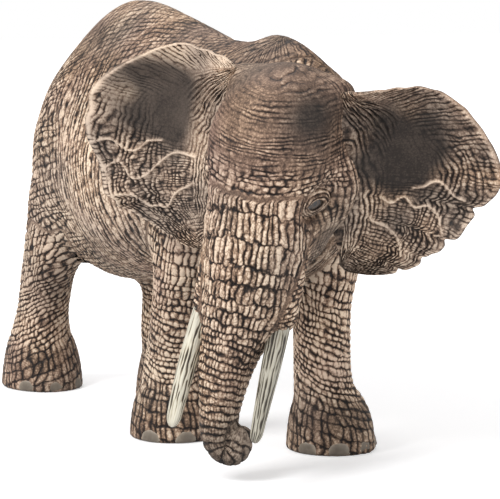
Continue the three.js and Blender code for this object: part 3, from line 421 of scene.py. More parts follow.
# Large odd numbers that stir the bits of a cell's place and salt, as a hash function does.
CELL_STIRS = [0x8DA6B343, 0xD8163841, 0xCB1AB31F]
SALT_STIR = 0x9E3779B9
ROUND_STIRS = [(15, 0x2C1B3C6D), (12, 0x297A2D39)]
LAST_SHIFT = 15
WORD = 0xFFFFFFFF
TEN_BITS = 1023


def scattered(cells, salt):
    """Three repeatable numbers from 0 to 1 for each whole-numbered cell."""
    cells = cells.astype(np.int64)
    bits = (sum(cells[:, k] * stir for k, stir in enumerate(CELL_STIRS)) + salt * SALT_STIR) & WORD
    for shift, stir in ROUND_STIRS:
        bits = ((bits ^ bits >> shift) * stir) & WORD
    bits ^= bits >> LAST_SHIFT
    return np.stack([bits >> shift & TEN_BITS for shift in (0, 10, 20)], 1) / TEN_BITS


def cloud(q, salt):
    """Smooth noise from -1 to 1 that changes about once per unit."""
    base = np.floor(q)
    rest = q - base
    rest = rest * rest * (3 - 2 * rest)
    total = 0
    for step in itertools.product((0, 1), repeat=3):
        weight = np.where(step, rest, 1 - rest).prod(1)
        total = total + weight * scattered(base + step, salt)[:, 0]
    return 2 * total - 1


def risen(x, low, high):
    """A smooth step from nought at the low value to one at the high value."""
    t = np.clip((x - low) / (high - low), 0, 1)
    return t * t * (3 - 2 * t)


def spot(q, middle, radii):
    """A soft round spot: one at its middle and about a third at its radii."""
    return np.exp(-(((q - np.array(middle)) / np.array(radii)) ** 2).sum(1))


def line_ridge(level, width):
    """Nought in the crack at each whole number of the level, rising to one on the ridge beside it."""
    return np.sqrt(np.clip(np.abs(level - np.rint(level)) / width, 0, 1))


COLUMN_WIDTH = 0.33


def wrinkle_relief(rows, columns, row_depth, column_depth, row_width):
    """Ridges between two families of cracks. Where the rows are deep, the columns stand half a step
    aside in each second row, as bricks do."""
    shift = 0.5 * (np.floor(rows) % 2) * row_depth ** 2
    across = 1 - row_depth * (1 - line_ridge(rows, row_width))
    return across * (1 - column_depth * (1 - line_ridge(columns + shift, COLUMN_WIDTH)))


# Two sizes of wave, in line spacings: length across and along the lines, and how far they push.
BRAID_WAVES = [[2.7, 7.0, 0.66], [1.2, 3.1, 0.40]]


def braid(across, along, salt, amount=1.0):
    """Noise on a sheet of lines, counted in their spacing both ways: long along the lines, so that
    they waver, part and join again."""
    waves = [push * cloud(np.stack([across / wide, along / long, 0 * along], 1), salt + k)
             for k, (wide, long, push) in enumerate(BRAID_WAVES)]
    return amount * sum(waves)


def stepped(x, places, spacings):
    """A level that rises by one in each spacing, with its own spacing from each place to the next,
    and the spacing at each x."""
    numbers = np.concatenate([[0], np.cumsum(np.diff(places) / np.array(spacings))])
    index = np.clip(np.searchsorted(places, x) - 1, 0, len(spacings) - 1)
    return np.interp(x, places, numbers), np.array(spacings)[index]


FLANK_SPACING = 0.0017
# Where the chest and the rump bend away from the flanks, and how wide the lines turn there.
CHEST_BEND, CHEST_TURN = -0.030, 0.018
RUMP_BEND, RUMP_TURN = 0.034, 0.020
# The height that the flanks turn about, and the radius that stands for their turn.
FLANK_HEIGHT, FLANK_TURN = 0.045, 0.030
UPRIGHT_SLANT, LEVEL_SLANT = 0.20, 0.35
# Where the spacing of the lines along the back changes, from the spine down, and the spacings.
BACK_ROW_PLACES = [-0.04, 0.012, 0.12]
BACK_ROW_SPACINGS = [0.0012, 0.0020]
# From where to where the blocks of the thighs and the belly and the hatching of the back set in.
THIGH_RANGE, THIGH_HEIGHT, THIGH_SLANT = [0.020, 0.034], 0.05, 0.35
BELLY_LEVELS, BELLY_ENDS, BELLY_MIDDLE = [-0.040, -0.034], [0.030, 0.018], 0.002
BACK_LEVELS, BACK_SLANT = [0.068, 0.079], 0.15
# Sizes of the patches in which the columns drift, the blocks' edge wanders and the lines deepen.
DRIFT_PATCH, BLOCK_PATCH, BACK_ROW_PATCH, FLANK_PATCH = 0.009, 0.007, 0.0030, 0.0035
TORSO_ROW_WIDTH = 0.27
TORSO_DEPTH, BACK_SHALLOWER = 0.00036, 0.00018


def torso_lines(p):
    """Long upright ridges on the flanks, blocks on the thighs and belly, fine hatching on the back.
    One coordinate runs round the body from chest to rump, the other over it from the spine down."""
    side, y, z = np.abs(p[:, 0]), p[:, 1], p[:, 2]
    around = np.clip(y, CHEST_BEND, RUMP_BEND) + RUMP_TURN * np.arctan2(np.maximum(y - RUMP_BEND, 0), side) \
        - CHEST_TURN * np.arctan2(np.maximum(CHEST_BEND - y, 0), side)
    turn = FLANK_TURN * np.arctan2(p[:, 0], z - FLANK_HEIGHT)
    over = np.abs(turn)
    upright = (around + UPRIGHT_SLANT * over) / FLANK_SPACING
    level, _ = stepped(over - LEVEL_SLANT * around, BACK_ROW_PLACES, BACK_ROW_SPACINGS)
    columns = upright + braid(upright, turn / FLANK_SPACING, 11) + 0.5 * cloud(p / DRIFT_PATCH, 17)
    rows = level + braid(turn / FLANK_SPACING, around / FLANK_SPACING, 13, 0.9)
    thigh = risen(y + THIGH_SLANT * (THIGH_HEIGHT - z), *THIGH_RANGE)
    belly = risen(-z, *BELLY_LEVELS) * risen(np.abs(y - BELLY_MIDDLE), *BELLY_ENDS)
    top = risen(z + BACK_SLANT * np.abs(y), *BACK_LEVELS)
    share = np.clip(thigh + 0.5 * belly + 0.35 * cloud(p / BLOCK_PATCH, 21), 0, 1)
    row_depth = (0.10 + 0.76 * share + 0.24 * top) * (1 + 0.5 * cloud(p / BACK_ROW_PATCH, 15))
    column_depth = (0.88 - 0.54 * top) * (1 - 0.55 * cloud(p / FLANK_PATCH, 16) ** 2)
    return rows, columns, row_depth, column_depth, TORSO_ROW_WIDTH + 0 * z, TORSO_DEPTH - BACK_SHALLOWER * top


# Where the spacing of a leg's rows changes, from the sole up, and the spacings.
LEG_ROW_PLACES = [-0.01, 0.009, 0.013, 0.027, 0.034, 0.080]
LEG_ROW_SPACINGS = [0.0024, 0.0014, 0.0012, 0.0017, 0.0023]
LEG_COLUMNS = 34
# How far the rows sink as they run round each leg, in metres per radian, and how far they waver.
LEG_SLANTS = [0.0006, 0.0022, -0.0016, 0.0016]
LEG_WAVER = 0.0010
LEG_FACING = np.array([-0.5, -0.866])
LEG_SPACING = 0.0011
# A number of lines far enough apart that no two legs share their noise.
LEG_APART = 60
# Below these heights the lines change to those of the shin and of the foot.
SHIN_LEVELS, FOOT_LEVELS = [-0.030, -0.022], [-0.0125, -0.0085]
# At the back of a leg the lines fade out over these turns, where the ends of the rows meet.
LEG_MEETING = [0.04, 0.16]
LEG_PATCH = 0.0028
LEG_CRACK = 0.00041
LEG_DEPTH, FOOT_SHALLOWER = 0.00040, 0.00018


def leg_lines(p):
    """Upright blocks above the knee, rings below it and a nearly smooth foot. One coordinate runs
    round each leg from its front, the other up it."""
    near = np.stack([form(p) for form in leg_forms.values()]).argmin(0)
    turn = np.zeros(len(p))
    for k, rows in enumerate(leg_rows.values()):
        mine = near == k
        centre = np.stack([np.interp(p[mine, 2], rows[::-1, 2], rows[::-1, axis]) for axis in (0, 1)], 1)
        away = p[mine, :2] - centre
        turn[mine] = np.arctan2(away @ [-LEG_FACING[1], LEG_FACING[0]], away @ LEG_FACING)
    z = p[:, 2]
    rear = near > 1
    upright = turn / math.tau * LEG_COLUMNS
    height = z / LEG_SPACING + LEG_APART * near
    slant = np.array(LEG_SLANTS)[near] * turn + LEG_WAVER * np.cos(turn + 1.2 * rear) * (1 + rear)
    level = z + slant + LEG_WAVER * braid(height, upright, 31)
    rows, spacing = stepped(level, LEG_ROW_PLACES, LEG_ROW_SPACINGS)
    columns = upright + braid(upright, height, 33, 0.95)
    low = risen(-z, *SHIN_LEVELS)
    foot = risen(-z, *FOOT_LEVELS)
    behind = risen(math.pi - np.abs(turn), *LEG_MEETING)
    row_depth = (0.70 + 0.2 * low - 0.34 * foot) * (1 + 0.45 * cloud(p / LEG_PATCH, 35)) * behind
    column_depth = (0.95 - 0.36 * low + 0.04 * foot) * (1 - 0.5 * cloud(p / LEG_PATCH, 36) ** 2) * behind
    return rows, columns, row_depth, column_depth, LEG_CRACK / spacing, LEG_DEPTH - FOOT_SHALLOWER * foot


def trunk_place(p):
    """How far down the trunk each point lies, and its turn about the trunk from the front, to the
    animal's left."""
    path = through(trunk_rows, LIMB_STEPS)[:, :3]
    lengths = lengths_along(path)
    best = np.full(len(p), FAR)
    down = np.zeros(len(p))
    turn = np.zeros(len(p))
    for k, (first, second) in enumerate(zip(path[:-1], path[1:])):
        along = second - first
        share = np.clip((p - first) @ along / (along @ along), 0, 1)
        away = p - first - share[:, None] * along
        distance = np.linalg.norm(away, axis=1)
        nearer = distance < best
        best = np.where(nearer, distance, best)
        down = np.where(nearer, lengths[k] + share * (lengths[k + 1] - lengths[k]), down)
        ahead = np.cross(along / np.linalg.norm(along), head_axes[:, 0])
        turn = np.where(nearer, np.arctan2(away @ head_axes[:, 0], away @ ahead), turn)
    return down, turn


# Where the spacing of the grooves across the trunk changes, from its root down, and the spacings.
GROOVE_PLACES = [-0.002, 0.004, 0.012, 0.021, 0.027, 0.032, 0.070]
GROOVE_SPACINGS = [0.0025, 0.0050, 0.0042, 0.0029, 0.0021, 0.00135]
# Upright bars round the trunk, and how many more there are at its root.
TRUNK_COLUMNS, ROOT_COLUMNS, ROOT_RANGE = 42, 14, [-0.018, -0.002]
# From where to where down the trunk its tip sets in, and at what turns from the front its sides do.
TIP_RANGE, SIDE_TURNS = [0.030, 0.044], [0.85, 1.25]
# How far the grooves wander, in patches of these sizes, and how far they hang at the front.
GROOVE_WANDERS, GROOVE_PATCHES, GROOVE_SAG = [0.0006, 0.00042], [0.0050, 0.0017], 0.0010
BAR_SPACING = 0.0013
TRUNK_MEETING = [0.06, 0.25]
TRUNK_ROW_PATCH, TRUNK_COLUMN_PATCH = 0.0026, 0.0030
TRUNK_CRACK = 0.00040
TRUNK_DEPTH, TIP_SHALLOWER = 0.00046, 0.00014


def trunk_lines(p):
    """Rows of upright bars between deep grooves, turning into plain rings towards the tip, with wavy
    upright ridges on both sides."""
    down, turn = trunk_place(p)
    tip = risen(down, *TIP_RANGE)
    side = risen(np.abs(turn), *SIDE_TURNS) * (1 - tip)
    upright = turn / math.tau * (TRUNK_COLUMNS + ROOT_COLUMNS * risen(-down, *ROOT_RANGE))
    wander = GROOVE_WANDERS[0] * cloud(p / GROOVE_PATCHES[0], 41) \
        + GROOVE_WANDERS[1] * cloud(p / GROOVE_PATCHES[1], 42) * (1 - 0.4 * tip)
    rows, spacing = stepped(down + wander + GROOVE_SAG * np.cos(turn), GROOVE_PLACES, GROOVE_SPACINGS)
    columns = upright + braid(upright, down / BAR_SPACING, 43, 0.62 + 0.4 * side)
    row_depth = (0.98 - 0.42 * side) * (1 + 0.25 * cloud(p / TRUNK_ROW_PATCH, 44))
    column_depth = (0.92 - 0.55 * tip) * (1 - 0.5 * cloud(p / TRUNK_COLUMN_PATCH, 45) ** 2)
    column_depth = column_depth * risen(math.pi - np.abs(turn), *TRUNK_MEETING)
    return rows, columns, row_depth, column_depth, TRUNK_CRACK / spacing, TRUNK_DEPTH - TIP_SHALLOWER * tip


# The eyes' frames come here, because the head's lines flow round them. Each eye has a place on the
# head and a long axis.
EYE_PLACE = np.array([0.0086, -0.0061, -0.0038])
EYE_LEAN = np.array([0.5, 0.8, -0.14])
EYE_WRINKLE_REACH = 0.0034
LID_LENGTH = 0.0046
LID_HEIGHT = 0.0033
# A point of the lids lies no further than this from the eye's place, square to the skin.
LID_REACH = 0.004
# How many steps take a place onto the skin, the longest of them, and half the distance over which
# the skin's slope is measured.
EYE_TIMES, EYE_STEP = 8, 0.001
SLOPE_REACH = 0.0004


def laid(points, times, reach):
    """Points moved onto the smooth skin in several steps, none longer than the reach."""
    for _ in range(times):
        points = settled(points, hide_form, reach)
    return points


def eye_frame(side):
    """The eye's place on the skin, the outward direction there, and its long and short axes."""
    place = laid(head_point(*(EYE_PLACE * [side, 1, 1]))[None], EYE_TIMES, EYE_STEP)[0]
    tips = SLOPE_REACH * np.eye(3)
    out = np.array([(hide_form((place + tip)[None]) - hide_form((place - tip)[None]))[0] for tip in tips])
    out /= np.linalg.norm(out)
    long = head_axes @ (EYE_LEAN * [side, 1, 1])
    long -= out * (long @ out)
    long /= np.linalg.norm(long)
    short = np.cross(out, long)
    return place, out, long, short * np.sign(short @ head_axes[:, 2])


eye_frames = {side: eye_frame(side) for side in (1, -1)}

# Where the spacing of the head's level lines changes, up from its middle, and the spacings.
HEAD_ROW_PLACES = [-0.030, 0.0030, 0.030]
HEAD_ROW_SPACINGS = [0.00088, 0.00074]
# The same for the upright lines, in radians from the front to both sides.
HEAD_COLUMN_PLACES = [0, 0.9, 3.2]
HEAD_COLUMN_SPACINGS = [0.105, 0.088]
HEAD_ROUND = 0.011
# The bearings are counted about an upright line that lies this far behind the head's middle.
BEARING_BACK = 0.004
FURROW_SPACING, FOLD_SPACING = 0.00095, 0.0012
# From where to where, counted down or up from the head's middle, the lower face, crown and chin set in.
LOW_LEVELS, CROWN_LEVELS, CHIN_LEVELS = [-0.0050, -0.0010], [0.0085, 0.0135], [0.0125, 0.0155]
CROWN_SLANT = 0.25
TEMPLE_BEARINGS, RIGHT_BEARINGS, NAPE_MEETING = [1.0, 1.35], [-0.2, 0.4], [0.03, 0.1]
# The smooth cheek on each side: left, back and up from the head's middle, and its radii.
CHEEK_PLACE, CHEEK_RADII = np.array([0.0100, -0.003, -0.0115]), [0.0040, 0.006, 0.0040]
FURROW_PATCH, FACE_PATCH, FOLD_PATCH = [0.0024, 0.0024, 0.0010], 0.0045, 0.0030
HEAD_ROW_WIDTH, LOW_NARROWER = 0.38, 0.10
HEAD_LINE_DEPTH, LOW_DEEPER, CROWN_SHALLOWER = 0.00026, 0.00012, 0.00008


def head_lines(p):
    """Level furrows on the forehead, blocks between the eyes and upright folds by the ears. One
    coordinate runs round the head from its front, the other up it, and flows round the eyes as
    water does round a post."""
    q = (p - head_middle) @ head_axes
    bearing = np.arctan2(q[:, 0], BEARING_BACK - q[:, 1])
    up = q[:, 2].copy()
    for place, out, long, short in eye_frames.values():
        away = p - place
        reach = np.sqrt((0.62 * (away @ long)) ** 2 + (away @ short) ** 2 + (away @ out) ** 2)
        level = (place - head_middle) @ head_axes[:, 2]
        up += (level - up) * np.clip(EYE_WRINKLE_REACH / np.maximum(reach, TINY), 0, 1) ** 2 * 0.65
    sheet = bearing * HEAD_ROUND
    rows, _ = stepped(up, HEAD_ROW_PLACES, HEAD_ROW_SPACINGS)
    low = risen(-q[:, 2], *LOW_LEVELS)
    rows += braid(up / FURROW_SPACING, sheet / FURROW_SPACING, 51) * (1.2 - 0.6 * low)
    side_columns, _ = stepped(np.abs(bearing), HEAD_COLUMN_PLACES, HEAD_COLUMN_SPACINGS)
    columns = side_columns * np.sign(bearing) + braid(sheet / FOLD_SPACING, up / FOLD_SPACING, 53, 0.95)
    crown = risen(q[:, 2] - CROWN_SLANT * q[:, 1], *CROWN_LEVELS)
    temple = risen(np.abs(bearing), *TEMPLE_BEARINGS)
    chin = risen(-q[:, 2], *CHIN_LEVELS)
    smooth = sum(spot(q, CHEEK_PLACE * [side, 1, 1], CHEEK_RADII) for side in (1, -1))
    patchy = 1 + 1.1 * cloud(p / FURROW_PATCH, 55) + 0.5 * cloud(p / FACE_PATCH, 57)
    right_side = risen(-bearing, *RIGHT_BEARINGS) * (1 - low)
    row_depth = (0.54 - 0.20 * crown - 0.26 * temple + 0.26 * low * (1 - temple) - 0.20 * right_side) * patchy
    upright = np.maximum(low, temple * (1 - 0.3 * crown))
    column_depth = 0.12 - 0.12 * crown + 0.66 * upright + 0.1 * chin
    column_depth = column_depth * (1 - 0.5 * cloud(p / FOLD_PATCH, 56) ** 2)
    column_depth = column_depth * risen(math.pi - np.abs(bearing), *NAPE_MEETING)
    quiet = 1 - 0.72 * np.clip(smooth, 0, 1)
    depth = HEAD_LINE_DEPTH + LOW_DEEPER * low - CROWN_SHALLOWER * crown
    return rows, columns, row_depth * quiet, column_depth * quiet, HEAD_ROW_WIDTH - LOW_NARROWER * low, depth


def lid_share(p, side):
    """One in the middle of an eye's lids, nought from their outer edge on, and in between less by the
    square of the distance."""
    place, out, long, short = eye_frames[side]
    q = p - place
    within = 1 - (q @ long / LID_LENGTH) ** 2 - (q @ short / LID_HEIGHT) ** 2
    return np.clip(within, 0, 1) * (np.abs(q @ out) < LID_REACH)


# Two corners of the box that the net is made in.
HIDE_LOW = np.array([-0.034, -0.070, -0.004])
HIDE_HIGH = np.array([0.028, 0.072, 0.090])
hide_points, hide_facets = skin_net(hide_form, HIDE_LOW, HIDE_HIGH, HIDE_CELL)
coarse_centres = hide_points[hide_facets].mean(1)
hide_points = laid(hide_points, 2, HIDE_CELL / 2)
for parts in (4, 8):
    hide_points, hide_facets = quartered(hide_points, hide_facets)
    hide_points = laid(hide_points, 1, HIDE_CELL / parts)
hide_points[:, 2] = np.maximum(hide_points[:, 2], 0)
hide_facing = facing(hide_points, hide_facets)

# Each point follows the lines of its own region, and the lines fade out in a narrow band on both
# sides of each border between two regions.
LEG_TOPS = [0.044, 0.044, 0.037, 0.037]
# How far the borders lie ahead of the neck's seam, below the head's middle, and off trunk and leg.
HEAD_BORDER, TRUNK_BORDER, TRUNK_REACH, LEG_REACH = 0.001, 0.001, 0.0010, 0.0025
# How far the borders of legs and trunk wander, and in patches of what size.
LEG_WANDER, LEG_WANDER_PATCH = 0.002, 0.006
TRUNK_WANDER, TRUNK_WANDER_PATCH = 0.0009, 0.0022
LEAST_LID_SHARE = 0.0006
FADE_RANGE, FADE_SPREADS = [0.08, 0.60], 2
# The relief that stays on the smooth form, from nought in the cracks to one on the ridges.
MIDDLE_RELIEF = 0.6
BORDER_SINK, LID_SINK = 0.00022, 0.0006
SWELLING, SWELLING_PATCH = 0.0003, 0.007
SOLE_REACH = 0.001
neck_seam = body_sizes * NECK_SEAM_SHARES
neck_ahead = np.array([math.sin(NECK_TURN), -math.cos(NECK_TURN), 0])
in_head = (hide_points - head_middle) @ head_axes
z = hide_points[:, 2]
leg_distances = np.stack([form(hide_points) for form in leg_forms.values()])
leg_top = np.array(LEG_TOPS)[leg_distances.argmin(0)]
leg_distance = leg_distances.min(0)
ahead = (hide_points - neck_seam) @ neck_ahead
lids = lid_share(hide_points, 1) + lid_share(hide_points, -1)
on_head = np.minimum(ahead - HEAD_BORDER, leg_distance - head_form(hide_points))
on_trunk = np.minimum(
    -TRUNK_BORDER + TRUNK_WANDER * cloud(hide_points / TRUNK_WANDER_PATCH, 82) - in_head[:, 2],
    TRUNK_REACH - trunk_form(hide_points))
on_trunk = np.minimum(on_trunk, LEAST_LID_SHARE - lids)
on_leg = np.minimum(
    leg_top + LEG_WANDER * cloud(hide_points / LEG_WANDER_PATCH, 81) - z, LEG_REACH - leg_distance)
family = np.where(on_head > 0, np.where(on_trunk > 0, 3, 2), np.where(on_leg > 0, 1, 0))
fade = np.zeros(len(hide_points))
fade[hide_facets[(family[hide_facets] != family[hide_facets[:, :1]]).any(1)]] = 1
around = np.bincount(hide_facets.ravel())
for _ in range(FADE_SPREADS):
    fade = np.bincount(hide_facets.ravel(), np.repeat(fade[hide_facets].mean(1), 4)) / around
fade = 1 - risen(fade, *FADE_RANGE)
lines = np.zeros((6, len(hide_points)))
for k, family_lines in enumerate((torso_lines, leg_lines, head_lines, trunk_lines)):
    mine = np.flatnonzero(family == k)
    lines[:, mine] = np.stack(family_lines(hide_points[mine]))
rows, columns, row_depth, column_depth, row_width, depth = lines
sole = risen(-hide_facing[:, 2], 0.7, 0.95) * (z < SOLE_REACH)
row_depth = np.clip(row_depth, 0, 1) * fade * (1 - sole)
column_depth = np.clip(column_depth, 0, 1) * fade * (1 - sole)
row_width = np.clip(row_width, 0.12, 0.5)
relief = wrinkle_relief(rows, columns, row_depth, column_depth, row_width)
height = depth * (relief - MIDDLE_RELIEF) - BORDER_SINK * (1 - fade) ** 2 \
    + SWELLING * cloud(hide_points / SWELLING_PATCH, 61)
height = (height * (1 - risen(lids, 0, 0.5)) - LID_SINK * risen(lids, 0.05, 0.4)) * (1 - sole)

# The tints. Heights are counted down from nought where a tint grows towards the ground.
SADDLE_LEVELS, SPINE_LEVELS, BACK_TINT_LEVELS = [0.060, 0.073], [-0.083, -0.079], [0.070, 0.080]
CROWN_TINT_LEVELS = [0.000, 0.005]
ANKLE_LIFT_LEVELS, ANKLE_DARK_LEVELS, TRUNK_DARK_LEVELS = [-0.012, -0.007], [-0.013, -0.008], [-0.014, -0.008]
# Spots on the head: left, back and up from its middle, and radii.
DARK_SPOT = [(0.0070, -0.0085, 0.0120), (0.0052, 0.010, 0.0050)]
BLUSH_SPOT = [(-0.008, -0.008, 0.004), (0.007, 0.010, 0.010)]
SLATE_SPOT = [(0.0105, -0.001, -0.0125), (0.005, 0.007, 0.0055)]
DARK_PATCH, BLUSH_PATCH, SLATE_PATCH = 0.011, 0.008, 0.010
on_torso, is_leg, is_head, is_trunk = family == 0, (family == 1) * fade, (family == 2) * fade, family == 3
# Painted shade on the undersides: the more a place faces the ground, the darker it is painted.
under = risen(-hide_facing[:, 2], 0.1, 0.8)
hide_values = {
    "rows": rows, "columns": columns, "row_depth": row_depth, "column_depth": column_depth,
    "row_width": row_width,
    # The lift also paints shade into the shallow groove along each border between regions of lines.
    "lift": -0.035 - 0.34 * (1 - np.maximum(row_depth, column_depth)) - 0.14 * (1 - fade) ** 4
            + 0.03 * (family != 2) + (family == 1) * (0.02 + 0.24 * (relief - 0.55))
            - 0.09 * is_head * risen(in_head[:, 2], *CROWN_TINT_LEVELS) - 0.015 * is_head
            - 0.055 * is_trunk - 0.13 * on_torso * risen(z, *SADDLE_LEVELS) * risen(-z, *SPINE_LEVELS)
            - 0.21 * is_leg * risen(-z, *ANKLE_LIFT_LEVELS),
    # The dark value holds painted shade on the undersides, and darker paint on a spot of the forehead, at the
    # feet, at the trunk's lower end and in random patches.
    "soot": np.clip(0.95 * spot(in_head, *DARK_SPOT) + 0.34 * is_leg * risen(-z, *ANKLE_DARK_LEVELS)
                    + 0.50 * is_trunk * risen(-z, *TRUNK_DARK_LEVELS)
                    + 0.40 * under + 0.30 * cloud(hide_points / DARK_PATCH, 71), 0, 1),
    "blush": np.clip(0.9 * spot(in_head, *BLUSH_SPOT)
                     + 0.25 + 0.6 * cloud(hide_points / BLUSH_PATCH, 72), 0, 1),
    "slate": np.clip(0.9 * spot(in_head, *SLATE_SPOT)
                     + 0.02 + 0.50 * cloud(hide_points / SLATE_PATCH, 73) + 0.12 * is_trunk
                     + 0.25 * risen(z, *BACK_TINT_LEVELS), 0, 0.9),
}
hide_points = hide_points + height[:, None] * hide_facing
hide_points[:, 2] = np.maximum(hide_points[:, 2], 0)
hide_facing = facing(hide_points, hide_facets)


def plugged(tree, node, inputs):
    """Puts values or links on a node's inputs."""
    for name, value in inputs.items():
        socket = node.inputs[name]
        if isinstance(value, bpy.types.NodeSocket):
            tree.links.new(value, socket)
        else:
            socket.default_value = value


def shader_node(tree, kind, inputs=None, **settings):
    """A node with its settings, and with values or links on its inputs."""
    node = tree.nodes.new("ShaderNode" + kind)
    for name, value in settings.items():
        setattr(node, name, value)
    plugged(tree, node, inputs or {})
    return node


def ramp(tree, source, stops):
    """A colour ramp over a value."""
    node = shader_node(tree, "ValToRGB", {"Fac": source})
    while len(node.color_ramp.elements) < len(stops):
        node.color_ramp.elements.new(0.5)
    for element, (place, colour) in zip(node.color_ramp.elements, stops):
        element.position = place
        element.color = (*colour, 1)
    return node.outputs["Color"]


def chained(tree, start, *steps):
    """A chain of math nodes on a value. Each step names the operation and its other numbers or
    sockets."""
    for operation, *others in steps:
        start = shader_node(tree, "Math", dict(enumerate([start, *others])), operation=operation).outputs[0]
    return start


def short_of_one(tree, value, *steps):
    """One less a value, after the steps."""
    return chained(tree, value, *steps, ("MULTIPLY", -1.0), ("ADD", 1.0))


def own_place(tree):
    """The place in the object's own axes."""
    return shader_node(tree, "TexCoord").outputs["Object"]


def noise(tree, scale, detail, output="Fac", roughness=0.5):
    """Smooth noise on the object's own places."""
    inputs = {"Vector": own_place(tree), "Scale": scale, "Detail": detail, "Roughness": roughness}
    return shader_node(tree, "TexNoise", inputs).outputs[output]


def cells(tree, size, scale, push):
    """The distance to the nearest crack between small cells, on places that noise pushes about."""
    shift = shader_node(
        tree, "VectorMath", {0: noise(tree, scale, 2.0, "Color"), 1: (push,) * 3}, operation="MULTIPLY")
    moved = shader_node(tree, "VectorMath", {0: own_place(tree), 1: shift.outputs[0]}, operation="ADD")
    net = shader_node(
        tree, "TexVoronoi", {"Vector": moved.outputs[0], "Scale": size}, feature="DISTANCE_TO_EDGE")
    return net.outputs["Distance"]


def mixed(tree, share, one, other):
    """One colour turning into another as the share rises."""
    return shader_node(tree, "Mix", {"Factor": share, "A": one, "B": other}, data_type="RGBA").outputs[2]


def carried(tree, *names):
    """The values that the mesh carries under those names, by the name that a group's input has."""
    return {name: shader_node(tree, "Attribute", attribute_name=name.lower().replace(" ", "_")).outputs["Fac"]
            for name in names}


def bump(tree, height, distance, strength):
    """A bent normal from a height."""
    inputs = {"Height": height, "Distance": distance, "Strength": strength}
    return shader_node(tree, "Bump", inputs).outputs["Normal"]


def new_group(name, inputs, outputs):
    """An empty shader node group. Its inputs are numbers, and its outputs are of the kinds given."""
    tree = bpy.data.node_groups.new(name, "ShaderNodeTree")
    for way, sockets in (("INPUT", dict.fromkeys(inputs, "Float")), ("OUTPUT", outputs)):
        for socket, kind in sockets.items():
            tree.interface.new_socket(socket, in_out=way, socket_type="NodeSocket" + kind)
    return tree, tree.nodes.new("NodeGroupInput").outputs, tree.nodes.new("NodeGroupOutput")


# The finest skin grain, too fine to sculpt: small cells between cracks, on the object's own places.
grain_group, given, result = new_group("fine_grain", ["Size"], {"Grain": "Float"})
spread = shader_node(
    grain_group, "MapRange", {"Value": cells(grain_group, given["Size"], 900.0, 0.0007), "From Max": 0.28})
plugged(grain_group, result, {"Grain": spread.outputs["Result"]})

# Wrinkle lines, drawn sharper than the mesh can: the same two families of cracks as in the relief.
LINE_VALUES = ["Rows", "Columns", "Row Depth", "Column Depth", "Row Width"]
line_group, given, result = new_group("wrinkle_lines", LINE_VALUES, {"Relief": "Float", "Tone": "Float"})
tremor = shader_node(line_group, "SeparateXYZ", {"Vector": noise(line_group, 560.0, 1.6, "Color")}).outputs
shaken_rows = chained(line_group, tremor["X"], ("MULTIPLY_ADD", 0.8, -0.4), ("ADD", given["Rows"]))
parity = chained(line_group, shaken_rows, ("FLOOR",), ("FLOORED_MODULO", 2.0), ("MULTIPLY", 0.5))
shift = chained(line_group, given["Row Depth"], ("POWER", 2.0), ("MULTIPLY", parity))
moved = chained(
    line_group, tremor["Y"], ("MULTIPLY_ADD", 0.9, -0.45), ("ADD", given["Columns"]), ("ADD", shift))
firm = chained(line_group, tremor["Z"], ("MULTIPLY_ADD", 2.6, -0.42), ("MAXIMUM", 0.4), ("MINIMUM", 1.1))
ridged = []
for level, line_depth, width in ((shaken_rows, given["Row Depth"], given["Row Width"]),
                                 (moved, given["Column Depth"], COLUMN_WIDTH)):
    firmness = chained(line_group, line_depth, ("MULTIPLY", firm), ("MINIMUM", 1.0))
    nearest = chained(line_group, level, ("ROUND",))
    crack = short_of_one(
        line_group, level, ("SUBTRACT", nearest), ("ABSOLUTE",), ("DIVIDE", width), ("MINIMUM", 1.0),
        ("SQRT",))
    ridged.append(short_of_one(line_group, crack, ("MULTIPLY", firmness)))
# Short stray cracks between the lines.
either = chained(line_group, given["Row Depth"], ("MAXIMUM", given["Column Depth"]))
stray = short_of_one(line_group, cells(line_group, 980.0, 1300.0, 0.0009), ("DIVIDE", 0.22), ("MINIMUM", 1.0))
stray = chained(line_group, stray, ("MULTIPLY", either), ("MULTIPLY", -0.22), ("ADD", 1.0))
block = shader_node(line_group, "CombineXYZ", {
    "X": chained(line_group, shaken_rows, ("FLOOR",)), "Y": chained(line_group, moved, ("FLOOR",))})
chance = shader_node(line_group, "TexWhiteNoise", {"Vector": block.outputs[0]}, noise_dimensions="2D")
plugged(line_group, result, {
    "Relief": chained(line_group, ridged[0], ("MULTIPLY", ridged[1]), ("MULTIPLY", stray)),
    "Tone": chained(line_group, chance.outputs["Value"], ("SUBTRACT", 0.5), ("MULTIPLY", either))})

# Paint: a brown base, a dark wash that stays in the cracks, and tan brushed dry over the ridges.
TINT_VALUES = ["Lift", "Soot", "Blush", "Slate"]
paint_group, given, result = new_group(
    "wash_and_brush", ["Relief", "Tone", "Grain", *TINT_VALUES], {"Color": "Color", "Roughness": "Float"})
fine = chained(paint_group, given["Grain"], ("MULTIPLY_ADD", 0.12, -0.09))
uneven = chained(paint_group, noise(paint_group, 2400.0, 2.0), ("MULTIPLY_ADD", 0.40, -0.20))
blotch = chained(paint_group, noise(paint_group, 240.0, 5.0, roughness=0.6), ("MULTIPLY_ADD", 0.60, -0.30))
block_tone = chained(paint_group, given["Tone"], ("MULTIPLY", 0.30))
brushed = chained(
    paint_group, given["Relief"], ("MULTIPLY_ADD", 1.30, fine), ("ADD", -0.20), ("ADD", uneven),
    ("ADD", blotch), ("ADD", block_tone), ("ADD", given["Lift"]))
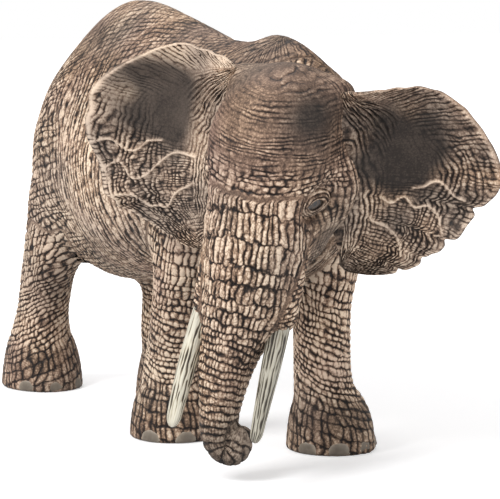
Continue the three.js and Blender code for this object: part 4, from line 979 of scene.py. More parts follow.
# The stops of each colour's ramp, from the cracks to the ridges.
BROWN = [(0.10, (0.009, 0.005, 0.004)), (0.36, (0.036, 0.021, 0.014)), (0.56, (0.165, 0.103, 0.066)),
         (0.76, (0.440, 0.290, 0.190)), (1.0, (0.920, 0.740, 0.560))]
PINK = [(0.05, (0.016, 0.009, 0.007)), (0.34, (0.060, 0.034, 0.025)), (0.60, (0.240, 0.150, 0.112)),
        (1.0, (0.700, 0.510, 0.395))]
GREY = [(0.05, (0.013, 0.010, 0.008)), (0.34, (0.050, 0.037, 0.029)), (0.60, (0.175, 0.136, 0.108)),
        (1.0, (0.590, 0.490, 0.395))]
DARK_PAINT_AND_SHADE_STOPS = [(0.10, (0.006, 0.005, 0.004)), (0.55, (0.030, 0.022, 0.018)), (1.0, (0.105, 0.080, 0.064))]
colour = ramp(paint_group, brushed, BROWN)
# The darkest ramp carries both darker paint and painted shade.
for share, stops in (("Blush", PINK), ("Slate", GREY), ("Soot", DARK_PAINT_AND_SHADE_STOPS)):
    colour = mixed(paint_group, given[share], colour, ramp(paint_group, brushed, stops))
rough = shader_node(paint_group, "MapRange", {"Value": brushed, "To Min": 0.50, "To Max": 0.78})
plugged(paint_group, result, {"Color": colour, "Roughness": rough.outputs["Result"]})


def new_material(name):
    """A material with its tree and its shader."""
    material = bpy.data.materials.new(name)
    material.use_nodes = True
    return material, material.node_tree, material.node_tree.nodes["Principled BSDF"]


# Matt paint over wrinkled skin, steered by the lines and tints that the mesh carries.
hide, tree, shader = new_material("hide_paint")
grain = shader_node(tree, "Group", {"Size": 1900.0}, node_tree=grain_group).outputs["Grain"]
wrinkles = shader_node(tree, "Group", carried(tree, *LINE_VALUES), node_tree=line_group).outputs
paint = shader_node(tree, "Group", {
    "Relief": wrinkles["Relief"], "Tone": wrinkles["Tone"], "Grain": grain, **carried(tree, *TINT_VALUES)},
    node_tree=paint_group).outputs
raised = chained(tree, grain, ("MULTIPLY_ADD", 0.10, wrinkles["Relief"]))
plugged(tree, shader, {
    "Base Color": paint["Color"], "Roughness": paint["Roughness"], "Normal": bump(tree, raised, 0.00026, 1.0),
    "Specular IOR Level": 0.3})


def add_piece(name, points, facets, material, values, nodes=(), normals=None):
    """Makes a closed mesh object from four-sided and three-sided facets, with named values on its
    points. It rides on the one body and stands for the given nodes."""
    facets = [block for block in facets if len(block)]
    volume = sum((points[block[:, 0]] * np.cross(points[block[:, k]], points[block[:, k + 1]])).sum()
                 for block in facets for k in range(1, block.shape[1] - 1))
    if volume < 0:
        facets = [block[:, ::-1] for block in facets]
    mesh = bpy.data.meshes.new(name)
    counts = np.concatenate([np.full(len(block), block.shape[1]) for block in facets])
    corners = np.concatenate([block.ravel() for block in facets]).astype(np.int32)
    mesh.vertices.add(len(points))
    mesh.vertices.foreach_set("co", (points + FIGURE_PLACE).astype(np.float32).ravel())
    mesh.loops.add(len(corners))
    mesh.loops.foreach_set("vertex_index", corners)
    mesh.polygons.add(len(counts))
    mesh.polygons.foreach_set("loop_start", (np.cumsum(counts) - counts).astype(np.int32))
    mesh.polygons.foreach_set("use_smooth", np.ones(len(counts), bool))
    mesh.update(calc_edges=True)
    for key, value in values.items():
        mesh.attributes.new(key, "FLOAT", "POINT").data.foreach_set("value", np.asarray(value, np.float32))
    if normals is not None:
        mesh.normals_split_custom_set_from_vertices(normals.tolist())
    mesh.materials.append(material)
    piece = bpy.data.objects.new(name, mesh)
    bpy.context.scene.collection.objects.link(piece)
    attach(piece, "root")
    if nodes:
        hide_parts(*nodes)


# Each doubling follows a rim twice as far, so a rim may have up to two to this power of points.
RIM_DOUBLINGS = 18


def capped(points, facets, inset):
    """Points and facets of one part of the skin, closed with a shallow cone over each open rim."""
    ends = np.stack([facets, np.roll(facets, -1, 1)], 2).reshape(-1, 2)
    key = ends[:, 0] * len(points) + ends[:, 1]
    back = ends[:, 1] * len(points) + ends[:, 0]
    rim = ends[~np.isin(key, back)]
    following = np.arange(len(points))
    following[rim[:, 0]] = rim[:, 1]
    loop = np.arange(len(points))
    for _ in range(RIM_DOUBLINGS):
        loop = np.minimum(loop, loop[following])
        following = following[following]
    names, index = np.unique(loop[rim[:, 0]], return_inverse=True)
    apexes = []
    for k in range(len(names)):
        edge = rim[index == k]
        middle = points[edge[:, 0]].mean(0)
        outwards = np.cross(points[edge[:, 1]] - middle, points[edge[:, 0]] - middle).sum(0)
        apexes.append(middle - inset * outwards / np.linalg.norm(outwards))
    cone = np.stack([rim[:, 1], rim[:, 0], len(points) + index], 1)
    return np.vstack([points, apexes]), cone


# Where the mouldings part: a leg's moulding reaches this far above the belly and beyond its own form.
SEAM_RISE = 0.005
LEG_MARGIN = LEG_FOLD / 2
# How deep the cone over an open rim goes.
CAP_INSET = 0.002
belly_height = (TORSO_SHARES[2:-2, 1] - TORSO_SHARES[2:-2, 4]).min() * BODY_HEIGHT
leg_names = list(LEG_SHARES)
owner = np.where(coarse_centres[:, 0] > 0, 0, 1)
owner[(coarse_centres - neck_seam) @ neck_ahead > 0] = 2
head_distance = head_form(coarse_centres)
for k, name in enumerate(leg_names):
    distance = leg_forms[name](coarse_centres)
    low_enough = coarse_centres[:, 2] < belly_height + SEAM_RISE
    owner[(distance < LEG_MARGIN) & low_enough & (distance < head_distance)] = 3 + k
owner = np.repeat(owner, 16)
for k, name in enumerate(["torso_left_shell", "torso_right_shell", "head", *leg_names]):
    used, index = np.unique(hide_facets[owner == k], return_inverse=True)
    points, cone = capped(hide_points[used], index.reshape(-1, 4), CAP_INSET)
    extra = len(points) - len(used)
    values = {key: np.concatenate([value[used], np.full(extra, 0.5)]) for key, value in hide_values.items()}
    normals = np.vstack([hide_facing[used], np.tile([0.0, 0.0, 1.0], (extra, 1))])
    facets = [index.reshape(-1, 4), cone]
    add_piece(name + "_hide", points, facets, hide, values, [name], normals)

# Eyes. Moulded with the head and painted: a glossy brown ball under clear varnish, between lids that
# are painted like the hide.
EYE_LENGTH = 0.0025
EYE_OPENING = 0.00115
BALL_LENGTH = 0.0030
BALL_HEIGHT = 0.0021
BALL_RISE = 0.0008
BALL_SINK = 0.0002
# The rings of the eye's paint are counted in this radius.
PAINT_RADIUS = 0.0017
LID_RISE = 0.00062
LID_FOLDS = 3.3
# How far the lids' inner edge stands off the ball, their outer edge sinks, and their underside lies.
LID_GAP, LID_EDGE_SINK, LID_UNDERSIDE = 0.00006, 0.00045, -0.0010
LID_FOLD_DEPTH = 0.00030
BALL_RINGS, LID_RINGS, UNDER_RINGS = 33, 49, 9
BALL_STEPS, LID_STEPS = 96, 192
LID_COLUMNS = 27
SKIN_TIMES, SKIN_STEP = 6, 0.0006
# Places closer together than this become one point.
JOINING = 1e-8


def wrapped(grid):
    """Points and facets of a surface with two parameters, of which the second runs round. Neighbours
    in the grid make a facet, and places that fall together become one point."""
    index = np.arange(grid.shape[0] * grid.shape[1]).reshape(grid.shape[:2])
    beside = np.roll(index, -1, 1)
    quads = np.stack([index[:-1], beside[:-1], beside[1:], index[1:]], -1).reshape(-1, 4)
    flat = grid.reshape(-1, 3)
    _, first, joined = np.unique(
        np.round(flat / JOINING).astype(np.int64), axis=0, return_index=True, return_inverse=True)
    quads = joined.reshape(-1)[quads]
    same = quads == np.roll(quads, -1, 1)
    whole = quads[~same.any(1)]
    once = quads[same.sum(1) == 1]
    kept = ~same[same.sum(1) == 1]
    return flat[first], [whole, once[kept].reshape(-1, 3)], first


def add_wrapped(name, grid, material, values, nodes=()):
    """Makes a piece of a wrapped grid, with a value at each of its places."""
    points, facets, first = wrapped(grid)
    values = {key: np.broadcast_to(value, grid.shape[:2]).ravel()[first] for key, value in values.items()}
    add_piece(name, points, facets, material, values, nodes)


def dome_grid(above, around):
    """The share of the way from a dome's middle to its rim and back below it, the turn about the
    middle, and whether a ring is on the upper side."""
    shares = np.concatenate([np.linspace(0, 1, above), np.linspace(1, 0, UNDER_RINGS)[1:]])
    share, turn = np.meshgrid(shares, np.linspace(0, math.tau, around, endpoint=False), indexing="ij")
    return share, turn, np.arange(len(share))[:, None] < above


def cloud_on(grid, size, salt):
    """Smooth noise on a grid of places."""
    return cloud(grid.reshape(-1, 3) / size, salt).reshape(grid.shape[:2])


eye_material, tree, shader = new_material("glossy_eye")
spread = chained(tree, noise(tree, 2600.0, 3.0), ("MULTIPLY_ADD", 0.22, carried(tree, "ring")["ring"]))
iris = ramp(tree, spread, [
    (0.34, (0.003, 0.002, 0.002)), (0.42, (0.035, 0.020, 0.011)), (0.58, (0.065, 0.038, 0.020)),
    (0.74, (0.010, 0.007, 0.005)), (0.92, (0.030, 0.023, 0.019))])
plugged(tree, shader, {
    "Base Color": iris, "Roughness": 0.15, "Coat Weight": 0.4, "Specular IOR Level": 0.3,
    "Coat Roughness": 0.05})


def on_skin(side, along, across, height):
    """Places at two distances from the middle of an eye, laid on the smooth skin and then raised."""
    place, out, long, short = eye_frames[side]
    q = (place + along[..., None] * long + across[..., None] * short).reshape(-1, 3)
    q = laid(q, SKIN_TIMES, SKIN_STEP)
    return q.reshape(*along.shape, 3) + height[..., None] * out


for side, eye_name in ((1, "left"), (-1, "right")):
    ring, turn, above = dome_grid(BALL_RINGS, BALL_STEPS)
    along, across = BALL_LENGTH * ring * np.cos(turn), BALL_HEIGHT * ring * np.sin(turn)
    rise = np.where(above, BALL_RISE, -BALL_RISE) * np.sqrt(1 - ring ** 2) - BALL_SINK
    add_wrapped(eye_name + "_eye", on_skin(side, along, across, rise), eye_material,
                {"ring": np.hypot(along, across) / PAINT_RADIUS})

    # The lids: a folded roll of skin round an almond-shaped opening, thicker above.
    share, turn, above = dome_grid(LID_RINGS, LID_STEPS)
    upper = risen(np.sin(turn), -0.3, 0.5)
    inner_along = EYE_LENGTH * np.cos(turn)
    inner_across = EYE_OPENING * np.sin(turn) * np.abs(np.sin(turn)) ** 0.8 * (1 - 0.25 * upper)
    along = inner_along + (LID_LENGTH * np.cos(turn) - inner_along) * share
    across = inner_across + (LID_HEIGHT * (0.88 + 0.20 * upper) * np.sin(turn) - inner_across) * share
    ball = np.sqrt(1 - (inner_along / BALL_LENGTH) ** 2 - (inner_across / BALL_HEIGHT) ** 2)
    edge = BALL_RISE * ball - BALL_SINK + LID_GAP
    waver = cloud_on(np.stack([np.cos(turn) * 2.5, np.sin(turn) * 2.5, share * 2], -1), 1, 91)
    rows = LID_FOLDS * share + 0.35 * waver * share + 0.18
    swell = LID_RISE * (0.45 + 0.55 * upper) * np.sin(math.pi * np.clip(share, TINY, 1) ** 0.6)
    folds = LID_FOLD_DEPTH * (line_ridge(rows, 0.5) - MIDDLE_RELIEF) \
        * risen(share, 0.02, 0.12) * (1 - risen(share, 0.8, 1.0))
    height = edge * (1 - share) ** 1.5 - LID_EDGE_SINK * share ** 3 + swell + folds
    # A dark line along the fold of each upper lid is painted shade in that crease.
    crease = 0.25 * upper * (1 - risen(np.abs(share - 0.36), 0.02, 0.12))
    values = {
        "rows": rows, "columns": LID_COLUMNS * turn / math.tau, "row_depth": 0.75 * risen(share, 0.02, 0.1),
        "column_depth": 0.10, "row_width": 0.5,
        "lift": -0.08 + 0.05 * upper - 0.60 * (1 - risen(share, 0.0, 0.09)) - crease,
        "soot": 0.12, "blush": 0.3, "slate": 0.1 + 0.3 * (1 - upper)}
    grid = on_skin(side, along, across, np.where(above, height, LID_UNDERSIDE))
    add_wrapped(eye_name + "_eyelids", grid, hide, values)

# Ears. Two thin cupped mouldings of PVC, each pressed into a slot at the side of the head and bonded
# there. They are painted like the hide, with a dark wash in the cup and paler veins.
EAR_WIDTH = 0.0285
EAR_HEIGHT = 0.0385
EAR_THICKNESS = 0.0019
EAR_CUP = 0.0032
EAR_TAB_LENGTH = 0.003
EAR_SWEEP = {"left_ear": math.radians(20), "right_ear": math.radians(8)}
# Outline from the top of the root round the rim to the bottom: outwards and up.
EAR_OUTLINE_SHARES = {
    "right_ear": [
        [-0.06, 0.421], [0.14, 0.449], [0.354, 0.447], [0.639, 0.335], [0.856, 0.218], [0.965, 0.101],
        [0.961, -0.127], [0.909, -0.273], [0.807, -0.361], [0.688, -0.444], [0.446, -0.496],
        [0.182, -0.527], [0.011, -0.548]],
    "left_ear": [
        [0.084, 0.382], [0.253, 0.403], [0.463, 0.416], [0.656, 0.353], [0.825, 0.218], [0.937, 0.078],
        [0.951, -0.044], [0.846, -0.174], [0.733, -0.281], [0.589, -0.39], [0.474, -0.47],
        [0.225, -0.499], [0.056, -0.519]],
}
EAR_ROOT_SHARES = [0.469, 0.104, 0]
EAR_ROOT_TOP_SHARE = 0.38
EAR_ROOT_BOTTOM_SHARE = -0.48
EAR_ROOT_LEAN_SHARE = 0.1
# The share of the way from root to rim that the tab in the slot takes.
TAB_SHARE = 0.03
# The dark cup of each ear: its middle outwards and up, and its two half sizes, all in the same shares.
EAR_CUP_SHARES = {"right_ear": [0.50, 0.13, 0.36, 0.25], "left_ear": [0.34, 0.09, 0.26, 0.24]}
# Raised veins on the front of each ear, as paths outwards and up.
EAR_VEIN_SHARES = {
    "right_ear": [
        [[0.99, -0.17], [0.90, -0.13], [0.80, -0.11], [0.70, -0.15], [0.62, -0.14], [0.56, -0.09],
         [0.46, -0.07]],
        [[0.87, -0.28], [0.75, -0.22], [0.64, -0.28], [0.55, -0.26], [0.47, -0.19], [0.35, -0.11],
         [0.17, -0.09]],
        [[0.72, -0.37], [0.60, -0.36], [0.50, -0.40], [0.44, -0.39], [0.36, -0.38], [0.32, -0.31],
         [0.20, -0.24]],
        [[0.90, -0.24], [0.78, -0.33], [0.70, -0.42]]],
    "left_ear": [
        [[0.17, -0.24], [0.26, -0.27], [0.30, -0.29], [0.35, -0.33], [0.38, -0.41]],
        [[0.22, -0.13], [0.29, -0.16], [0.37, -0.13], [0.44, -0.18], [0.52, -0.17], [0.59, -0.21],
         [0.62, -0.28]],
        [[0.42, -0.09], [0.49, -0.08], [0.55, -0.05], [0.61, -0.06], [0.68, -0.11], [0.75, -0.13]]],
}
# Small notches in the rim: outwards, up and how deep, in the same shares.
EAR_NOTCH_SHARES = {
    "right_ear": [[0.97, 0.02, 0.02], [0.75, -0.42, 0.03], [0.30, -0.52, 0.02]],
    "left_ear": [[0.85, -0.17, 0.05], [0.68, -0.32, 0.05], [0.53, -0.43, 0.05], [0.39, -0.49, 0.04]],
}
NOTCH_SIZE = 0.022
EAR_SPACING = 0.0011
EAR_COLUMNS = 116
EAR_ROWS = 330
EAR_STEPS, VEIN_STEPS = 24, 4
# The length of an ear from root to rim, as its lines are counted.
EAR_LINE_REACH = 0.026
EAR_ROW_WIDTH = 0.40
VEIN_WIDTH = 0.00030
# Heights and depths of the cracks, the veins, the dark cup, the rim's bead, the pleats by the rim and
# by the root, the sway of the whole ear and the waves of its lower hem.
CRACK_DEPTH, VEIN_RISE, BOWL_SINK, BEAD_RISE = 0.00024, 0.00042, 0.0008, 0.00020
PLEAT_DEPTH, TUCK_DEPTH, SWAY, HEM_WAVE = 0.00034, 0.00032, 0.0007, 0.0011
# Sizes of the patches in which the tints, the lines' depth and the sway change.
TINT_PATCH, DEPTH_PATCH, SWAY_PATCH = 0.005, 0.003, 0.009


def vein_height(out, up, path):
    """One on a vein's path, falling away on both sides of it within half a millimetre."""
    line = through(np.array(path) * [EAR_WIDTH, EAR_HEIGHT], VEIN_STEPS)
    least = np.full(out.shape, FAR)
    for (a, b), (c, d) in zip(line[:-1], line[1:]):
        share = np.clip(((out - a) * (c - a) + (up - b) * (d - b)) / ((c - a) ** 2 + (d - b) ** 2), 0, 1)
        least = np.minimum(least, np.hypot(out - a - share * (c - a), up - b - share * (d - b)))
    return np.exp(-(least / VEIN_WIDTH) ** 2)


def braid_on(across, along, salt, amount):
    """The braid's noise on a grid."""
    return braid(across.ravel(), along.ravel(), salt, amount).reshape(across.shape)


for name, outline in EAR_OUTLINE_SHARES.items():
    side = 1 if name == "left_ear" else -1
    seed = 100 if side > 0 else 200
    sweep = EAR_SWEEP[name]

    # Across and round the ear: its rim, and how far each place is grown from the root to it.
    rim = through(outline, EAR_STEPS)
    steps = np.concatenate([[0], np.cumsum(np.hypot(*np.diff(rim * [EAR_WIDTH, EAR_HEIGHT], axis=0).T))])
    spaced = np.linspace(0, steps[-1], EAR_ROWS)
    rim = np.stack([np.interp(spaced, steps, rim[:, k]) for k in (0, 1)], 1)
    t = np.interp(spaced, steps, np.linspace(0, 1, len(steps)))[:, None]
    across = np.linspace(-1, 1, 2 * EAR_COLUMNS + 1)[None, :]
    u = 1 - np.abs(across)
    for out_share, up_share, cut in EAR_NOTCH_SHARES[name]:
        away = np.hypot(rim[:, 0] - out_share, rim[:, 1] - up_share)
        rim = rim * (1 - cut * np.exp(-(away / NOTCH_SIZE) ** 2))[:, None]
    ruffle = 0.008 * np.cos(60 * t[:, 0] + 3 * np.sin(17 * t[:, 0])) * risen(t[:, 0], 0.45, 0.7)
    rim = rim * (1 + ruffle)[:, None]
    lean = EAR_ROOT_LEAN_SHARE * EAR_WIDTH * (1 - risen(t, 0, 0.25))
    grown = np.clip((u - TAB_SHARE) / (1 - TAB_SHARE), 0, 1) + 0 * t
    out = -lean + (rim[:, :1] * EAR_WIDTH + lean) * grown
    tab = -lean - EAR_TAB_LENGTH * (1 - u / TAB_SHARE) * (1 - risen(t, 0.62, 1))
    out = np.where(u < TAB_SHARE, tab, out)
    root_up = (EAR_ROOT_TOP_SHARE + (EAR_ROOT_BOTTOM_SHARE - EAR_ROOT_TOP_SHARE) * t) * EAR_HEIGHT
    up = root_up + (rim[:, 1:] * EAR_HEIGHT - root_up) * grown
    flat = np.stack([out, up, 0 * out], -1)

    # Its regions: the dark cup, the lower and outer parts, the band along the rim and the root.
    middle_out, middle_up, half_out, half_up = EAR_CUP_SHARES[name] * np.array([EAR_WIDTH, EAR_HEIGHT] * 2)
    bowl = np.exp(-(((out - middle_out) / half_out) ** 2 + ((up - middle_up) / half_up) ** 2) ** 1.5)
    low = risen(-up / EAR_HEIGHT, -0.04, 0.14)
    tip = risen(-up / EAR_HEIGHT, 0.38, 0.50)
    front = np.broadcast_to(across > 0, out.shape)
    outer = risen(t, 0.30, 0.44)
    band = risen(grown + 0.22 * (1 - outer), 0.66, 0.84) * (1 - risen(grown, 0.95, 0.98))
    high_root = 1 - risen(t, 0.22, 0.42)
    root = 1 - risen(grown - 0.20 * high_root, 0.16, 0.30)
    bead = np.exp(-((grown - 0.974) / 0.016) ** 2)
    veins = np.clip(sum(vein_height(out, up, path) for path in EAR_VEIN_SHARES[name]), 0, 1)
    wander = cloud_on(flat, TINT_PATCH, seed)

    # Its lines, which run round the ear and outwards.
    around, outwards = (t * steps[-1] + 0 * out) / EAR_SPACING, grown * EAR_LINE_REACH / EAR_SPACING
    columns = around + braid_on(around, outwards, seed + 3, 1.0)
    rows = outwards + 0.25 * up / EAR_SPACING + braid_on(outwards, around, seed + 6, 1.1)
    plain = (1 - 0.62 * bowl) * (1 - 0.85 * veins)
    column_depth = (0.05 + 0.80 * band * (1 - 0.40 * outer) + 0.55 * low * (1 - band)) * plain
    row_depth = (0.12 + 0.66 * outer * risen(grown, 0.45, 0.7) + 0.30 * low
                 + (0.50 + 0.25 * high_root) * root) * plain
    row_patches, column_patches = [1 + 0.5 * cloud_on(flat, DEPTH_PATCH, seed + salt) for salt in (15, 12)]
    row_depth = np.clip(row_depth * row_patches * (1 - risen(grown, 0.93, 0.97)), 0, 1)
    column_depth = np.clip(column_depth * column_patches * (1 - root), 0, 1)
    relief = wrinkle_relief(rows, columns, row_depth, column_depth, EAR_ROW_WIDTH)

    # Its cupped and swaying middle surface, and its two faces in front of and behind that.
    cup = -EAR_CUP * np.sin(math.pi * grown) * np.sin(math.pi * t)
    pleats = PLEAT_DEPTH * np.cos(math.tau * (t * 17 + 0.3 * wander)) * risen(grown, 0.72, 0.97) * (1 - low)
    tucks = TUCK_DEPTH * np.cos(math.tau * (grown * 21 + 0.35 * wander)) \
        * risen(grown, 0.02, 0.07) * root * high_root
    hem = HEM_WAVE * np.sin(9 * math.pi * t + 1.0) * risen(grown, 0.6, 1.0) * low
    sway = SWAY * cloud_on(flat, SWAY_PATCH, seed + 18) + pleats + tucks + hem
    skin = CRACK_DEPTH * (relief - MIDDLE_RELIEF) + np.where(front, VEIN_RISE * veins - BOWL_SINK * bowl, 0)
    thick = EAR_THICKNESS / 2 * (1 - 0.5 * grown ** 2) * np.sqrt(np.clip(1 - grown ** 14, 0, 1)) \
        + BEAD_RISE * bead
    ends = np.sqrt(np.clip(np.minimum(t, 1 - t) / 0.02, 0, 1))
    closing = np.sqrt(np.clip(1 - grown ** 30, 0, 1))
    forward = cup + sway + np.where(front, 1, -1) * (thick + skin) * ends * closing
    place = np.stack([
        side * (EAR_ROOT_SHARES[0] * HEAD_WIDTH + out * math.cos(sweep) + forward * math.sin(sweep)),
        EAR_ROOT_SHARES[1] * HEAD_DEPTH + out * math.sin(sweep) - forward * math.cos(sweep), up], -1)

    # Its tints. The right ear, on the side of the lamp, is brushed paler as a painted highlight, and the left
    # ear is darkened towards its outer side as painted shade.
    if side < 0:
        lift = 0.28 * bead + (0.12 - 0.16 * low + 0.12 * band * (1 - low))
        outer_shade = 0
    else:
        lift = 0.14 * bead + -0.03
        outer_shade = 0.18 + 0.24 * outer * (1 - low)
    # Painted shade also darkens each ear near its root, where it meets the head.
    values = {
        "rows": rows, "columns": columns, "row_depth": row_depth, "column_depth": column_depth,
        "row_width": EAR_ROW_WIDTH,
        "lift": np.where(front, 0.36 * veins, 0) + lift - 0.34 * (1 - np.maximum(row_depth, column_depth))
                - 0.10 * bowl,
        "soot": np.clip(np.where(front, 1.25 * bowl, 0.15) + 0.10 * tip + outer_shade + 0.3 * wander
                        - 0.8 * veins - 0.9 * bead + 0.25 * risen(grown, 0.2, 0.0), 0, 1),
        "blush": np.clip(0.4 + 0.4 * wander, 0, 1),
        "slate": np.clip(0.15 + 0.3 * low + 0.3 * wander, 0, 1),
    }
    grid = head_middle + place @ head_axes.T
    if side < 0:
        grid = grid[:, ::-1]
        values = {key: np.broadcast_to(value, out.shape)[:, ::-1] for key, value in values.items()}
    add_wrapped(name + "_hide", grid, hide, values, [name])

# Tusks. Separate mouldings of rigid PVC, each with a peg that is bonded into the lip of skin. They
# are painted ivory, with grey-brown streaks in their grooves.
TUSK_LENGTH = 0.026
TUSK_ROOT_SHARES = [-0.458, -0.526]
TUSK_PEG_LENGTH = 0.005
TUSK_GROOVES = 15
# Rings in each span of the path, places round each ring, and the length of the round ends.
TUSK_STEPS, TUSK_AROUND, TUSK_ROUNDING = 60, 96, 1.7
# How deep the grooves of each tusk are all round, how much deeper on one side, and where that is, as
# a turn from the animal's left.
TUSK_WEAR = {"left_tusk": [2.1, 0.2, 0.0], "right_tusk": [0.90, 1.4, 0.2]}
PEG_LEAN_SHARE = 0.4
# Rows from root to tip: left, back and up from the root, half width.
TUSK_SHARES = {
    "left_tusk": [
        [0.254, 0, 0, 0.54], [0.269, -0.135, -0.269, 0.5], [0.277, -0.308, -0.577, 0.4],
        [0.281, -0.481, -0.9, 0.27]],
    "right_tusk": [
        [-0.254, 0, 0, 0.5], [-0.288, -0.135, -0.269, 0.487], [-0.312, -0.308, -0.596, 0.43],
        [-0.319, -0.481, -0.923, 0.32]],
}
# Grooves and grain are cut only where the tusk's half width is more than this.
LEAST_TUSK_RADIUS = 0.0006
GROOVE_DEPTH, GRAIN_DEPTH = 0.00007, 0.00003
# The noise on a tusk: its turns count this many units each way, and its length one unit per this.
TUSK_NOISE_TURN, TUSK_NOISE_LENGTH = 2.6, 0.0075
# How far each tusk is painted in the greyer ivory: painted shade, strongest on the left tusk, which lies away
# from the lamp.
TUSK_SHADE = {"left_tusk": 0.85, "right_tusk": 0.25}


class Tube:
    """Rings square to a path, each with its own radius, closed by a round end whose length is that
    share of the last radii."""

    def __init__(self, rows, side, around, rounding):
        path, radii = rows[:, :3], rows[:, 3]
        slope = np.gradient(path, axis=0)
        slope /= np.linalg.norm(slope, axis=1, keepdims=True)
        across = side - slope * (slope @ side)[:, None]
        across /= np.linalg.norm(across, axis=1, keepdims=True)
        self.path, self.across, self.third = path[:, None], across[:, None], np.cross(slope, across)[:, None]
        self.turn = np.linspace(0, math.tau, around, endpoint=False)
        lengths = lengths_along(path)
        left = np.minimum(lengths, lengths[-1] - lengths) / (rounding * radii + TINY)
        self.lengths = lengths[:, None]
        self.radii = (radii * np.sqrt(np.clip(1 - (1 - np.clip(left, 0, 1)) ** 2, 0, 1)))[:, None]

    def noise_places(self, turn_size, length_size):
        """Places for noise that runs on round the tube."""
        return np.stack(np.broadcast_arrays(
            np.cos(self.turn) * turn_size, np.sin(self.turn) * turn_size, self.lengths / length_size), -1)

    def grid(self, radii):
        """The places at those radii."""
        around = np.cos(self.turn)[:, None] * self.across + np.sin(self.turn)[:, None] * self.third
        return self.path + radii[..., None] * around


ivory, tree, shader = new_material("ivory_paint")
given = carried(tree, "streak", "stain_and_shade")
level = chained(tree, noise(tree, 700.0, 4.0), ("MULTIPLY_ADD", 0.35, given["streak"]))
pale = ramp(tree, level, [
    (0.24, (0.034, 0.025, 0.017)), (0.50, (0.230, 0.185, 0.120)), (0.72, (0.560, 0.500, 0.370)),
    (1.0, (0.800, 0.755, 0.620))])
shaded_ivory = ramp(tree, level, [
    (0.25, (0.030, 0.024, 0.017)), (0.55, (0.140, 0.122, 0.090)), (0.85, (0.280, 0.258, 0.205)),
    (1.0, (0.390, 0.365, 0.300))])
plugged(tree, shader, {
    "Base Color": mixed(tree, given["stain_and_shade"], pale, shaded_ivory), "Roughness": 0.42,
    "Normal": bump(tree, level, 0.00006, 0.6)})
for seed, (name, rows) in enumerate(TUSK_SHARES.items()):
    share = TUSK_PEG_LENGTH / TUSK_LENGTH
    rows = np.array([[rows[0][0], PEG_LEAN_SHARE * share, share, 0.5], *rows])
    root = [0, TUSK_ROOT_SHARES[0] * HEAD_DEPTH, TUSK_ROOT_SHARES[1] * HEAD_HEIGHT]
    shifted = root + rows[:, :3] * [HEAD_WIDTH, TUSK_LENGTH, TUSK_LENGTH]
    line = np.column_stack([[head_point(*row) for row in shifted], rows[:, 3] * TUSK_WIDTH])
    tusk = Tube(through(line, TUSK_STEPS), head_axes[:, 0], TUSK_AROUND, TUSK_ROUNDING)
    places = tusk.noise_places(TUSK_NOISE_TURN, TUSK_NOISE_LENGTH)
    grooves = tusk.turn / math.tau * TUSK_GROOVES + 0.55 * cloud_on(places * [1, 1, 1.6], 1, 300 + seed) \
        + 0.22 * cloud_on(places * [2, 2, 5], 1, 302 + seed)
    broken = np.clip(0.62 + 1.6 * cloud_on(places * [2.2, 2.2, 2.6], 1, 310 + seed), 0, 1)
    depth, deeper, deeper_turn = TUSK_WEAR[name]
    aged = depth + deeper * np.maximum(np.cos(tusk.turn - deeper_turn), 0)
    streak = 1 - np.clip(broken * aged, 0, 1) * (1 - risen(np.abs(grooves - np.rint(grooves)), 0.08, 0.42))
    fine = cloud_on(places * [3.5, 3.5, 1.2], 1, 320 + seed)
    low = np.clip(tusk.lengths / tusk.lengths[-1], 0, 1)
    cut = GROOVE_DEPTH * (streak - 0.8) + GRAIN_DEPTH * fine
    radii = tusk.radii + np.sign(tusk.radii) * cut * (tusk.radii > LEAST_TUSK_RADIUS)
    # Both tusks are also painted darker towards the root.
    values = {
        "streak": np.clip(0.02 + 0.93 * streak + 0.2 * fine - 0.5 * (1 - risen(low, 0.17, 0.26)), 0, 1),
        "stain_and_shade": np.clip(TUSK_SHADE[name] + 0.4 * fine + 0.5 * (1 - risen(low, 0.2, 0.35)), 0, 1)}
    add_wrapped(name + "_ivory", tusk.grid(radii), ivory, values, [name])

# Toenails. Low domes along the front edge of each foot, moulded with it in the same PVC and painted
# paler.
NAIL_HALF_WIDTH = 0.0021
NAIL_HALF_HEIGHT = 0.0020
NAIL_HEIGHT = 0.0005
NAIL_RISE = 0.00034
# Bearings of the nails about each foot, in degrees from straight ahead towards the animal's left.
NAIL_BEARINGS = {
    "front_right": [-60, -9, 38], "front_left": [-62, -18, 18, 54],
    "rear_right": [-46, -8, 30], "rear_left": [-40, -2, 36],
}
NAIL_RINGS, NAIL_STEPS, NAIL_TIMES = 21, 56, 4
# The thickness below a nail, how far it sinks into the skin, and the least height over the ground.
NAIL_UNDERSIDE, NAIL_SINK, NAIL_CLEARANCE = 0.0008, 0.00005, 0.0001
# Where the nails start, as a share of the foot's half size, and how much they lean up.
NAIL_START_SHARE, NAIL_LEAN = 0.93, 0.25
nail_material, tree, shader = new_material("toenail_paint")
mottle = noise(tree, 1100.0, 4.0)
level = chained(tree, mottle, ("MULTIPLY_ADD", 0.5, carried(tree, "rise")["rise"]))
horn = ramp(tree, level, [
    (0.22, (0.020, 0.014, 0.010)), (0.40, (0.400, 0.340, 0.270)), (0.80, (0.210, 0.175, 0.135)),
    (1.0, (0.150, 0.122, 0.094))])
plugged(tree, shader, {"Base Color": horn, "Roughness": 0.5, "Normal": bump(tree, mottle, 0.00008, 0.6)})
UPWARDS = np.array([0, 0, 1.0])
ring, turn, above = dome_grid(NAIL_RINGS, NAIL_STEPS)
wide = NAIL_HALF_WIDTH * ring * np.cos(turn)
tall = NAIL_HALF_HEIGHT * ring * np.sin(turn)
tall = np.where(tall < 0, tall * 0.18, tall)
dome = NAIL_RISE * np.sqrt(np.clip(1 - ring ** 2.6, 0, 1))
lift = np.where(above, dome, -NAIL_UNDERSIDE * np.sqrt(np.clip(1 - ring ** 2, 0, 1)))
rise = (np.where(above, dome / NAIL_RISE, 0) * 0.75)[:, ::-1].ravel()
